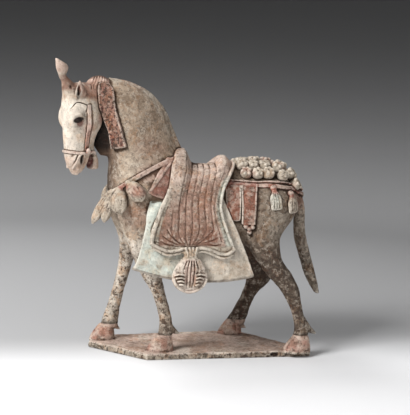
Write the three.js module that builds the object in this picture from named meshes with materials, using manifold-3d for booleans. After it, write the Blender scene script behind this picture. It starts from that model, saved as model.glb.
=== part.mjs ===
// Pottery horse with saddle, trappings and slab base, modelled and fired as one piece.
// Millimetres, +Z up. The head points to -X, the horse's left side faces -Y, and the
// origin lies on the underside of the slab, at the centre of the whole part's box.
import * as THREE from 'three';
import { mergeVertices } from 'three/addons/utils/BufferGeometryUtils.js';
import Module from 'manifold-3d';

const wasm = await Module();
wasm.setup();

// ---------- driving dimensions ----------
const SLAB_THICK = 9;
const SLAB_SINK = 3; // how far the hooves are pressed into the slab
const HEAD_TURN = 25; // degrees, towards the horse's left
const HEAD_PIVOT = [-154, -9]; // x, y of the upright axis the head turns about
const CLAY = { color: 0xb9a48c, roughness: 0.9, metalness: 0.0 };

const BALL_RADIUS = 8; // blossoms along the croup
const FLAP_THICK = 4;
const CLOTH_FOLDS = 9; // pleats across one side of the saddle cloth
const CLOTH_FOLD_DEPTH = 1.6;
const CLOTH_PLEATED = 0.36; // half of the pleated share of the cloth's length
const POMMEL_HEIGHT = 21; // above the seat
const CANTLE_HEIGHT = 12;

// ---------- helpers ----------
const { lerp, clamp, smoothstep } = THREE.MathUtils;

// Reads a table of rows as one smooth curve through every row, any number of columns.
function track(rows) {
  const columns = rows[0].map((_, c) => rows.map((row) => row[c]));
  const curves = columns.map((column) => {
    const points = column.map((value, i) => new THREE.Vector3(i, value, 0));
    return new THREE.CatmullRomCurve3(points, false, 'catmullrom', 0.5);
  });
  return (t) => curves.map((curve) => curve.getPoint(clamp(t, 0, 1)).y);
}

// A closed body through ribs. Each rib is [x1, z1, x2, z2, halfWidth, y, keel]: its two
// ends in the upright lengthwise plane, how wide it is across, where it stands across,
// and how much narrower it gets towards the second end.
function ribbed(ribs, { rows = 20, sides = 18, ends = [0.6, 0.6], caps = 3 } = {}) {
  const full = ribs.map((rib) => rib.concat([0, 0].slice(0, 7 - rib.length)));
  const at = track(full);
  const frame = (t) => {
    const [x1, z1, x2, z2, half, y, keel] = at(t);
    const middle = new THREE.Vector3((x1 + x2) / 2, y, (z1 + z2) / 2);
    const reach = new THREE.Vector3((x2 - x1) / 2, 0, (z2 - z1) / 2);
    return { middle, reach, half, keel };
  };
  const nose = [0, 1].map((end) => {
    const inner = frame(Math.abs(end - 0.02)).middle;
    return frame(end).middle.sub(inner).normalize();
  });
  const body = new THREE.CapsuleGeometry(1, 1, caps, sides, rows);
  const spots = body.attributes.position;
  const p = new THREE.Vector3();
  for (let i = 0; i < spots.count; i += 1) {
    p.fromBufferAttribute(spots, i);
    const t = clamp(p.y + 0.5, 0, 1);
    const past = Math.abs(p.y) - 0.5;
    const { middle, reach, half, keel } = frame(t);
    const round = Math.min(half, reach.length());
    const across = p.z * half * (1 - keel * p.x);
    const spot = middle.clone().addScaledVector(reach, p.x);
    spot.y += across;
    if (past > 0) {
      const end = p.y > 0 ? 1 : 0;
      spot.addScaledVector(nose[end], past * round * ends[end]);
    }
    spots.setXYZ(i, spot.x, spot.y, spot.z);
  }
  return body;
}

// A rectangular sheet, nx by ny cells, that face(a, b, side) puts in place; side is 1 on
// the outer face and 0 on the inner one.
function sheet(nx, ny, face) {
  const body = new THREE.BoxGeometry(1, 1, 1, nx, ny, 1);
  const spots = body.attributes.position;
  for (let i = 0; i < spots.count; i += 1) {
    const a = spots.getX(i) + 0.5;
    const b = spots.getY(i) + 0.5;
    const side = spots.getZ(i) + 0.5;
    spots.setXYZ(i, ...face(a, b, side));
  }
  return body;
}

// Makes a closed mesh into a solid, turned outwards whichever way its faces were wound.
function solid(geometry) {
  const bare = geometry.index ? geometry.clone() : geometry;
  bare.deleteAttribute('normal');
  bare.deleteAttribute('uv');
  const merged = mergeVertices(bare, 1e-4);
  const vertProperties = new Float32Array(merged.attributes.position.array);
  const triVerts = new Uint32Array(merged.index.array);
  let volume = 0;
  const corner = (k) => new THREE.Vector3().fromArray(vertProperties, 3 * triVerts[k]);
  for (let k = 0; k < triVerts.length; k += 3) {
    volume += corner(k).dot(corner(k + 1).cross(corner(k + 2)));
  }
  if (volume < 0) {
    for (let k = 0; k < triVerts.length; k += 3) {
      [triVerts[k], triVerts[k + 1]] = [triVerts[k + 1], triVerts[k]];
    }
  }
  return new wasm.Manifold(new wasm.Mesh({ numProp: 3, vertProperties, triVerts }));
}

const joined = (geometries) => geometries.map(solid).reduce((all, one) => all.add(one));

// The same body on the horse's other side.
function mirrored(geometry) {
  return geometry.clone().scale(1, -1, 1);
}

const bothSides = (geometries) => geometries.flatMap((body) => [body, mirrored(body)]);

// ---------- the horse ----------
function barrel() {
  return ribbed([
    [-124, 204, -126, 262, 34, 0, 0.1],
    [-104, 174, -104, 276, 44, 0, 0.1],
    [-68, 158, -68, 284, 50, 0, 0.1],
    [-16, 150, -16, 276, 53, 0, 0.1],
    [42, 152, 42, 274, 52, 0, 0.05],
    [86, 164, 86, 277, 52, 0, 0.05],
    [120, 184, 118, 271, 46, 0, 0.1],
    [138, 206, 138, 254, 28, 0, 0.1],
  ], { rows: 12, sides: 18 });
}

function neck() {
  return ribbed([
    [-132, 205, -4, 252, 45, 0, 0.3],
    [-139, 236, -30, 285, 44, 0, 0.35],
    [-140, 266, -43, 309, 39, 0, 0.4],
    [-140, 294, -51, 332, 35, -1, 0.45],
    [-144, 320, -64, 357, 31, -3, 0.45],
    [-150, 340, -90, 380, 26, -5, 0.45],
    [-160, 350, -122, 390, 22, -7, 0.35],
    [-170, 354, -150, 393, 18, -9, 0.2],
  ], { rows: 11, sides: 14, caps: 2 });
}

// The head is drawn straight ahead of its pivot and turned afterwards: x is minus the
// distance forward of the pivot.
function turnedHead(geometries) {
  const turn = THREE.MathUtils.degToRad(HEAD_TURN);
  return geometries.map((body) => body.rotateZ(turn).translate(...HEAD_PIVOT, 0));
}

function skull() {
  return ribbed([
    [-4, 376, -46, 382, 15],
    [2, 362, -57, 365, 21],
    [4, 346, -62, 349, 24],
    [4, 330, -64, 334, 24],
    [-2, 313, -61, 316, 21],
    [-12, 299, -56, 300, 17],
    [-17, 286, -53, 286, 17],
    [-24, 273, -48, 271, 14],
  ], { rows: 11, sides: 14, ends: [0.5, 0.9], caps: 2 });
}

// The lower jaw hangs clear of the upper lip, so that the mouth stands open.
function lowerJaw() {
  return ribbed([
    [-6, 312, -30, 308, 15],
    [-6, 292, -22, 292, 13],
    [0, 279, -13, 278, 12],
    [-2, 271, -11, 271, 9],
  ], { rows: 5, sides: 8, ends: [0.3, 0.4], caps: 1 });
}

function eye(side) {
  const body = new THREE.SphereGeometry(7, 6, 4);
  return body.scale(1, 0.8, 0.8).translate(-49, side * 19, 339);
}

function ear(side) {
  const body = ribbed([
    [-34, 360, -50, 361, 6, side * 15],
    [-35, 374, -49, 375, 6.5, side * 18],
    [-40, 387, -45, 388, 2.5, side * 19],
  ], { rows: 4, sides: 8, caps: 1 });
  return body;
}

function topknot() {
  return ribbed([
    [-42, 368, -58, 372, 8],
    [-51, 384, -62, 386, 5],
    [-58, 391, -66, 392, 4],
    [-55, 400, -71, 401, 7],
    [-54, 408, -72, 410, 7],
    [-63, 416, -72, 419, 3],
  ], { rows: 9, sides: 8, ends: [0.5, 0.2], caps: 1 });
}

function pollKnot() {
  return new THREE.SphereGeometry(1, 8, 6).scale(15, 13, 12).translate(-156, -8, 385);
}

// A mane ribbon falls from the poll on each side of the neck.
function neckRibbon(side) {
  return ribbed([
    [-165, 386, -148, 388, 5, -9 + side * 3],
    [-162, 378, -141, 382, 5, -7 + side * 14],
    [-158, 355, -132, 358, 5, -5 + side * 24],
    [-151, 325, -126, 328, 5, -3 + side * 32],
    [-143, 298, -118, 298, 5, -2 + side * 36],
  ], { rows: 4, sides: 8, ends: [0.5, 0.2], caps: 1 });
}

// Each leg runs from inside the body to the sole; the first end of a rib is the front.
function leftForeleg() {
  return ribbed([
    [-122, 200, -56, 196, 20, -24],
    [-108, 158, -64, 156, 15, -29],
    [-90, 119, -60, 118, 12, -31],
    [-76, 98, -56, 99, 9.5, -32],
    [-66, 74, -49, 76, 7.5, -32],
    [-61, 54, -43, 55, 8.5, -32],
    [-61, 38, -41, 38, 9, -32],
  ], { rows: 11, sides: 9, caps: 1 });
}

function rightForeleg() {
  return ribbed([
    [-128, 205, -74, 196, 20, 22],
    [-113, 162, -84, 155, 14, 31],
    [-111, 128, -90, 126, 11, 37],
    [-115, 98, -97, 98, 9.5, 41],
    [-122, 68, -104, 68, 8, 43],
    [-130, 42, -107, 42, 9, 45],
    [-134, 28, -108, 28, 10, 45],
  ], { rows: 11, sides: 9, caps: 1 });
}

function leftHindleg() {
  return ribbed([
    [64, 238, 136, 230, 22, -27],
    [60, 200, 118, 200, 23, -34],
    [62, 172, 111, 172, 20, -39],
    [72, 148, 114, 146, 16, -42],
    [93, 121, 130, 122, 12, -45],
    [114, 99, 142, 100, 10, -46],
    [126, 80, 146, 83, 8, -46],
    [135, 60, 152, 61, 7.5, -46],
    [139, 42, 160, 40, 9, -46],
  ], { rows: 11, sides: 9, caps: 1 });
}

function rightHindleg() {
  return ribbed([
    [60, 238, 136, 230, 22, 27],
    [58, 200, 122, 200, 23, 37],
    [64, 165, 126, 165, 20, 46],
    [78, 128, 137, 124, 15, 54],
    [92, 98, 131, 95, 11, 59],
    [87, 72, 111, 73, 8.5, 62],
    [79, 54, 103, 55, 8, 64],
    [69, 36, 98, 36, 9, 65],
    [62, 24, 94, 24, 10, 66],
  ], { rows: 11, sides: 9, caps: 1 });
}

// A hoof widens from the pastern to the sole, with a spur of hair behind the fetlock.
function hoof(toe, heel, y, spur) {
  const sole = SLAB_THICK - SLAB_SINK;
  const middle = (toe + heel) / 2;
  const body = ribbed([
    [toe, sole, heel, sole, 15, y],
    [lerp(toe, middle, 0.3), sole + 14, lerp(heel, middle, 0.1), sole + 14, 12.5, y],
    [lerp(toe, middle, 0.55), sole + 28, lerp(heel, middle, 0.25), sole + 28, 9.5, y],
  ], { rows: 3, sides: 10, ends: [0, 0.4], caps: 1 });
  const hair = ribbed([
    [spur[0] - 24, spur[1] + 4, spur[0] - 20, spur[1] + 22, 6, y],
    [spur[0] - 10, spur[1], spur[0] - 9, spur[1] + 10, 5, y],
    [spur[0] - 1, spur[1] - 2, spur[0] - 1, spur[1] + 1, 1.5, y],
  ], { rows: 2, sides: 6, caps: 1 });
  return [body, hair];
}

function hooves() {
  return [
    ...hoof(-79, -39, -32, [-31, 34]),
    ...hoof(-150, -112, 45, [-104, 24]),
    ...hoof(122, 164, -46, [172, 35]),
    ...hoof(52, 90, 66, [98, 18]),
  ];
}

function tail() {
  return ribbed([
    [128, 236, 142, 258, 9],
    [143, 214, 158, 222, 9],
    [144, 190, 161, 192, 8.5],
    [147, 166, 165, 168, 8],
    [156, 140, 173, 143, 8],
    [167, 110, 183, 112, 7.5],
    [181, 88, 190, 86, 5],
  ], { rows: 9, sides: 8, ends: [0.3, 0.6], caps: 1 });
}

// ---------- saddle and cloth ----------
// Across the horse the cloth is an arch, given from the hem up to the middle of the seat:
// half width and height of the arch, and x of the cloth's front and rear edges.
const clothArch = track([
  [76, 158, -86, 36],
  [71, 182, -80, 26],
  [62, 215, -71, 10],
  [55, 243, -66, 8],
  [44, 264, -62, 20],
  [24, 274, -54, 34],
  [0, 277, -48, 40],
]);

// Where a pleat that hangs straight from the seat runs to: the pleated middle of the cloth
// is drawn together above the knot, and the plain edges spread to fill the hem.
function gathered(a, climb) {
  const off = a - 0.5;
  const pleated = Math.min(Math.abs(off), CLOTH_PLEATED);
  const plain = Math.abs(off) - pleated;
  const draw = 1 - 0.75 * Math.exp(-climb / 0.15);
  const spread = (0.5 - CLOTH_PLEATED * draw) / (0.5 - CLOTH_PLEATED);
  return 0.5 + Math.sign(off) * (pleated * draw + plain * spread);
}

// a runs 0..1 from the front edge to the rear edge, b from the left hem over the seat to
// the right hem.
function saddleCloth() {
  return sheet(CLOTH_FOLDS * 3, 8, (a, b, side) => {
    const climb = 1 - Math.abs(2 * b - 1);
    const [half, height, front, rear] = clothArch(climb);
    const pommel = POMMEL_HEIGHT * Math.exp(-(((a - 0.2) / 0.13) ** 2));
    const cantle = CANTLE_HEIGHT * Math.exp(-(((a - 0.86) / 0.12) ** 2));
    const rise = (pommel + cantle) * smoothstep(climb, 0.55, 0.95);
    const fall = 1 - smoothstep(climb, 0.1, 0.75);
    const pleat = Math.cos(2 * Math.PI * CLOTH_FOLDS * a) * CLOTH_FOLD_DEPTH * fall;
    const inset = side ? -pleat : 8 + 14 * smoothstep(climb, 0.2, 0.6);
    const x = lerp(front, rear, gathered(a, climb));
    const y = Math.sign(b - 0.5) * Math.max(half - inset, 0);
    return [x, y, height + (side ? rise : -inset * climb)];
  });
}

// The mudguard under the cloth, a trapezium that flares outwards as it hangs.
function flap() {
  return sheet(4, 6, (a, b, side) => {
    const front = lerp(-111, -84, b ** 0.6);
    const rear = lerp(66, 15, b ** 1.1);
    const hem = lerp(134, 123, a) - 14 * Math.sin(Math.PI * a);
    const x = lerp(front, rear, a);
    const z = lerp(hem, 244, b);
    const y = lerp(72, 50, b ** 1.4) + (side ? 0 : -FLAP_THICK);
    return [x, y, z];
  });
}

function flapRoot() {
  return sheet(1, 1, (a, b, side) => {
    const x = lerp(lerp(-84, -74, b), lerp(44, 28, b), a);
    const y = side ? lerp(61, 52, b) : 30;
    return [x, y, lerp(176, 236, b)];
  });
}

function knotAndTail() {
  return ribbed([
    [-38, 168, -16, 168, 7, 73],
    [-36, 156, -20, 156, 7, 77],
    [-50, 142, -8, 142, 7, 79],
    [-57, 124, -3, 124, 8, 79],
    [-48, 106, -11, 106, 7, 78],
    [-34, 101, -22, 101, 4, 77],
  ], { rows: 8, sides: 8, ends: [0.2, 0.4], caps: 1 });
}

// ---------- breast straps, crupper and tassels ----------
function breastStrap() {
  return [
    ribbed([
      [-42, 300, -50, 288, 4, 30],
      [-74, 279, -82, 268, 4, 43],
      [-114, 262, -120, 246, 4, 41],
      [-134, 256, -138, 240, 4, 24],
      [-141, 252, -141, 236, 4, 0],
    ], { rows: 6, sides: 5, ends: [0.2, 0.2], caps: 1 }),
    ribbed([
      [-46, 296, -56, 292, 4, 34],
      [-60, 262, -84, 252, 4, 46],
      [-66, 236, -88, 236, 4, 50],
    ], { rows: 3, sides: 5, ends: [0.2, 0.2], caps: 1 }),
  ];
}

// A hanging tassel: a knob on top, then a body that widens and closes to a point.
function tassel(x, z, y, length, half, lean = 0, thick = 5) {
  const spot = (k) => [x + lean * k, z - length * k];
  const rib = (k, reach, deep) => {
    const [cx, cz] = spot(k);
    return [cx - reach, cz - 1, cx + reach, cz, deep, y];
  };
  return ribbed([
    rib(0, half * 0.45, thick * 0.7),
    rib(0.3, half * 0.9, thick),
    rib(0.65, half, thick),
    rib(1, half * 0.35, thick * 0.4),
  ], { rows: 3, sides: 6, ends: [0.5, 0.4], caps: 1 });
}

function chestTassels() {
  return [
    tassel(-139, 242, -20, 49, 8, -19, 6),
    tassel(-136, 240, -26, 46, 7, -8, 6),
    tassel(-125, 244, -37, 30, 8, -4, 6),
    tassel(-104, 246, -46, 18, 9, 6, 6),
    tassel(-139, 242, 16, 44, 8, -10, 6),
    tassel(-125, 244, 37, 30, 8, -4, 6),
    tassel(-104, 246, 46, 18, 9, 6, 6),
  ];
}

function crupper() {
  const strap = ribbed([
    [26, 254, 26, 263, 4, 48],
    [66, 248, 66, 257, 4, 52],
    [100, 240, 102, 249, 4, 46],
    [128, 228, 131, 238, 4, 30],
    [142, 226, 144, 238, 4, 10],
  ], { rows: 5, sides: 5, ends: [0.3, 0.3], caps: 1 });
  const panel = (front, rear, low, out) => sheet(1, 1, (a, b, side) => {
    const y = side ? lerp(out + 4, out, b) : out - 14;
    return [lerp(front, rear, a), y, lerp(low, 258, b)];
  });
  return [
    strap,
    panel(24, 42, 216, 54),
    panel(45, 65, 200, 54),
    tassel(60, 204, 54, 22, 6),
    tassel(94, 242, 50, 22, 7, 2),
    tassel(119, 240, 40, 18, 6, 4),
  ];
}

// Blossoms lie in rows over the croup, from behind the cantle to the root of the tail.
function blossoms() {
  const rows = [
    { from: [52, 0, 277], to: [124, 0, 264], count: 5 },
    { from: [44, 17, 275], to: [128, 13, 256], count: 6 },
    { from: [52, 33, 268], to: [130, 25, 244], count: 5 },
  ];
  const balls = [];
  for (const { from, to, count } of rows) {
    const sides = from[1] === 0 ? [1] : [-1, 1];
    for (const side of sides) {
      for (let i = 0; i < count; i += 1) {
        const k = i / (count - 1);
        const [x, y, z] = from.map((value, axis) => lerp(value, to[axis], k));
        const bend = 3 * Math.sin(Math.PI * k);
        const ball = new THREE.SphereGeometry(BALL_RADIUS, 6, 4);
        balls.push(ball.translate(x, side * y, z + bend));
      }
    }
  }
  return balls;
}

// ---------- slab ----------
function slab() {
  const outline = new THREE.Shape([
    new THREE.Vector2(-82, -55),
    new THREE.Vector2(163, -50),
    new THREE.Vector2(166, -40),
    new THREE.Vector2(96, 70),
    new THREE.Vector2(84, 82),
    new THREE.Vector2(60, 84),
    new THREE.Vector2(-140, 64),
    new THREE.Vector2(-153, 28),
  ]);
  return new THREE.ExtrudeGeometry(outline, { depth: SLAB_THICK, bevelEnabled: false });
}

// ---------- assembly ----------
function horse() {
  const face = [skull(), lowerJaw(), ear(-1), ear(1), eye(-1), eye(1), topknot()];
  const body = joined([
    barrel(),
    neck(),
    pollKnot(),
    leftForeleg(),
    rightForeleg(),
    leftHindleg(),
    rightHindleg(),
    ...hooves(),
    tail(),
    slab(),
    ...turnedHead(face),
  ]);
  const dress = joined([
    saddleCloth(),
    neckRibbon(-1),
    neckRibbon(1),
    ...bothSides([flap(), flapRoot(), knotAndTail(), ...breastStrap(), ...crupper()]),
    ...chestTassels(),
    ...blossoms(),
  ]);
  return body.add(dress);
}

function meshOf(name, shape) {
  const { vertProperties, triVerts, numProp } = shape.getMesh();
  const points = new Float32Array((vertProperties.length / numProp) * 3);
  for (let i = 0; i < points.length / 3; i += 1) {
    points.set(vertProperties.slice(i * numProp, i * numProp + 3), i * 3);
  }
  const geometry = new THREE.BufferGeometry();
  geometry.setAttribute('position', new THREE.BufferAttribute(points, 3));
  geometry.setIndex(new THREE.BufferAttribute(new Uint32Array(triVerts), 1));
  geometry.computeBoundingBox();
  const { min, max } = geometry.boundingBox;
  geometry.translate(-(min.x + max.x) / 2, -(min.y + max.y) / 2, -min.z);
  geometry.computeVertexNormals();
  const mesh = new THREE.Mesh(geometry, new THREE.MeshStandardMaterial(CLAY));
  mesh.name = name;
  return mesh;
}

const group = new THREE.Group();
group.add(meshOf('horse', horse()));

export default group;
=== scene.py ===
"""Painted pottery horse with saddle and trappings, on a thin slab.

The figure is sculpted the way a potter builds one: plain bodies are laid together as
clay, pressed at the joins, cut back with tools, and covered with worn slip and pigment.
Lengths in the sculpting functions are millimetres from the middle of the slab: -X is
towards the head, -Y towards the horse's left side, +Z up.
"""

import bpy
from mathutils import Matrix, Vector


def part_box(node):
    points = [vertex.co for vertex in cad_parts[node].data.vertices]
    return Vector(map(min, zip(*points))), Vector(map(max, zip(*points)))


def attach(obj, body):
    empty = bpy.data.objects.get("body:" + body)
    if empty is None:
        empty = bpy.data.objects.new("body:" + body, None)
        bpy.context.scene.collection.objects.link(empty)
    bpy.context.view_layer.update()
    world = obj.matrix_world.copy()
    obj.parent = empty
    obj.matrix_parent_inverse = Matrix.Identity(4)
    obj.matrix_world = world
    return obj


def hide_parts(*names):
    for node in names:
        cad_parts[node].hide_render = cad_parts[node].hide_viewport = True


bl_info = {
    "name": "Pottery Horse",
    "version": (1, 0, 0),
    "blender": (4, 5, 0),
    "location": "3D View > Sidebar > Pottery",
    "description": "Sculpts a painted pottery horse on a slab",
    "category": "Object",
}

import math
from functools import lru_cache

import bpy
import numpy as np
import openvdb
from bpy.props import FloatProperty, FloatVectorProperty, PointerProperty
from mathutils import Matrix, Vector

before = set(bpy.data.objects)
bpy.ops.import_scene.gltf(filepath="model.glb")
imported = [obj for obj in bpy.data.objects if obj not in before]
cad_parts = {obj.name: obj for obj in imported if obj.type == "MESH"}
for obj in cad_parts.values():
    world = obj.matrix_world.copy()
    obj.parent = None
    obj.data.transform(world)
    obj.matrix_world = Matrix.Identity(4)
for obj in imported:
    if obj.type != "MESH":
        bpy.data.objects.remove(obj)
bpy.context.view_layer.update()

MM = 0.001
NODE = "horse"
TOPKNOT_REACH = 219.0  # from the middle of the slab forward to the tip of the topknot
SLAB_MIDDLE = np.array([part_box(NODE)[0].x / MM + TOPKNOT_REACH, 0.0, 0.0])

LEFT, RIGHT = -1, 1
SIDES = (LEFT, RIGHT)
ROUND = 1.0  # square of a strap with a round section
SLAB_TOP = 9.0
CHIP = 108.0  # a chip out of the slab's near edge
HEAD_TURN = math.radians(25)
HEAD_PIVOT = np.array([-154.0, -9.0, 0.0])


# ---------------------------------------------------------------- plain bodies
def track(rows, t):
    """Smooth curve through every row, read at the shares t of its length."""
    rows = np.asarray(rows, float)
    last = len(rows) - 1
    at = np.clip(t, 0, 1) * last
    i = np.minimum(at.astype(int), last - 1)
    w = (at - i)[:, None]
    here, there = rows[i], rows[i + 1]
    before = np.where(i[:, None] > 0, rows[np.maximum(i - 1, 0)], 2 * here - there)
    after = np.where(i[:, None] < last - 1, rows[np.minimum(i + 2, last)], 2 * there - here)
    cubic = -before + 3 * here - 3 * there + after
    square = 2 * before - 5 * here + 4 * there - after
    return 0.5 * (2 * here + (there - before) * w + square * w**2 + cubic * w**3)


def skinned(rings):
    """Closed body over stacked rings of points; the first and last ring lie on a point."""
    count, sides = rings.shape[:2]
    row = np.arange(count - 1)[:, None] * sides
    j = np.arange(sides)
    k = (j + 1) % sides
    a, b, c, d = row + j, row + k, row + sides + k, row + sides + j
    faces = np.concatenate([np.stack([a, b, c], -1), np.stack([a, c, d], -1)])
    return rings.reshape(-1, 3), faces.reshape(-1, 3)


def capped(rows, caps):
    """Shares along a body with round ends: place, ring size, and how far past the end."""
    turn = np.linspace(0, math.pi / 2, caps + 1)
    t = np.concatenate([np.zeros(caps), np.linspace(0, 1, rows + 1), np.ones(caps)])
    size = np.concatenate([np.sin(turn[:-1]), np.ones(rows + 1), np.cos(turn[1:])])
    past = np.concatenate([-np.cos(turn[:-1]), np.zeros(rows + 1), np.sin(turn[1:])])
    return t, size, past


def section(sides, square):
    """Unit outline of a body, round where square is 1 and boxier the lower it is."""
    angle = np.linspace(0, 2 * math.pi, sides, endpoint=False)
    c, s = np.cos(angle), np.sin(angle)
    return np.sign(c) * np.abs(c) ** square, np.sign(s) * np.abs(s) ** square


def ribbed(ribs, ends=(0.6, 0.6), rows=60, sides=40, square=1.0):
    """Body through upright ribs [x1, z1, x2, z2, half width, y, keel].

    keel narrows a rib towards its second end, and square under 1 fills out its corners.
    """
    ribs = [list(rib) + [0] * (7 - len(rib)) for rib in ribs]
    t, size, past = capped(rows, 8)
    x1, z1, x2, z2, half, y, keel = track(ribs, t).T
    middle = np.stack([(x1 + x2) / 2, y, (z1 + z2) / 2], 1)
    reach = np.stack([(x2 - x1) / 2, 0 * y, (z2 - z1) / 2], 1)
    blunt = np.minimum(half, np.linalg.norm(reach, axis=1))
    inner = track(ribs, np.array([0.02, 0.98]))
    inside = (inner[:, [0, 5, 1]] + inner[:, [2, 5, 3]]) / 2
    for end, where in ((0, past < 0), (1, past > 0)):
        out = middle[-end] - inside[end]
        out = out / np.linalg.norm(out) * ends[end]
        middle[where] += out * (np.abs(past) * blunt)[where, None]
    c, s = section(sides, square)
    rings = middle[:, None] + reach[:, None] * (size[:, None] * c)[..., None]
    rings[..., 1] += (size * half)[:, None] * s * (1 - keel[:, None] * c)
    return skinned(rings)


def ball(centre, radii, turn=None):
    """Round body with its own radius along each axis, optionally turned."""
    down, around = np.linspace(0, math.pi, 25), np.linspace(0, 2 * math.pi, 32, endpoint=False)
    z, ring = np.cos(down)[:, None], np.sin(down)[:, None]
    unit = np.stack([ring * np.cos(around), ring * np.sin(around), z + 0 * around], -1)
    points, faces = skinned(unit * np.asarray(radii, float))
    if turn is not None:
        points = points @ np.asarray(turn.to_3x3()).T
    return points + centre, faces


def strip(path, out, wide, thick, square=0.5, rows=80, ends=(0.15, 0.15)):
    """Strap along a path; out is the direction away from what it lies on, at each point.

    wide and thick are half sizes, each one number or one for each point of the path.
    """
    path, out = np.asarray(path, float), np.asarray(out, float)
    count = len(path)
    sizes = np.stack([np.broadcast_to(wide, count), np.broadcast_to(thick, count)], 1)
    t, size, past = capped(rows, 5)
    spot, face, (half, deep) = track(path, t), track(out, t), track(sizes, t).T
    ahead = track(path, np.minimum(t + 0.01, 1)) - track(path, np.maximum(t - 0.01, 0))
    ahead /= np.linalg.norm(ahead, axis=1, keepdims=True)
    face = face - ahead * np.sum(face * ahead, 1, keepdims=True)
    face /= np.linalg.norm(face, axis=1, keepdims=True)
    side = np.cross(ahead, face)
    reach = np.where(past < 0, ends[0], ends[1]) * np.abs(past) * half
    spot = spot + ahead * (np.sign(past) * reach)[:, None]
    c, s = section(24, square)
    rings = spot[:, None] + side[:, None] * ((size * half)[:, None] * c)[..., None]
    return skinned(rings + face[:, None] * ((size * deep)[:, None] * s)[..., None])


def plate(across, along, place):
    """Sheet of across by along cells; place(a, b, side) puts a point, side 1 is outside."""
    a, b = np.meshgrid(np.linspace(0, 1, across + 1), np.linspace(0, 1, along + 1), indexing="ij")
    outer, inner = place(a, b, 1), place(a, b, 0)
    grid = np.arange(a.size).reshape(a.shape)
    p, q, r, s = grid[:-1, :-1], grid[1:, :-1], grid[1:, 1:], grid[:-1, 1:]
    cells = [np.stack([p, q, r], -1), np.stack([p, r, s], -1)]
    top = np.concatenate([cell.reshape(-1, 3) for cell in cells])
    rim = np.concatenate([grid[:, 0], grid[-1, 1:], grid[-2::-1, -1], grid[0, -2:0:-1]])
    after = np.roll(rim, -1)
    wall = [np.stack([rim, rim + a.size, after + a.size], 1), np.stack([rim, after + a.size, after], 1)]
    faces = np.concatenate([top, top[:, ::-1] + a.size, *wall])
    return np.concatenate([outer.reshape(-1, 3), inner.reshape(-1, 3)]), faces


def moved(body, matrix):
    """The body turned and moved by a 4 by 4 matrix."""
    points, faces = body
    full = np.array(matrix)
    return points @ full[:3, :3].T + full[:3, 3], faces


HEAD_PLACE = Matrix.Translation(HEAD_PIVOT) @ Matrix.Rotation(HEAD_TURN, 4, "Z")


def on_head(body):
    """Puts a body drawn straight ahead of the head's pivot onto the turned head."""
    return moved(body, HEAD_PLACE)


# ---------------------------------------------------------------- clay
FAR = 60.0  # distance kept for everything well away from the clay


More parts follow.
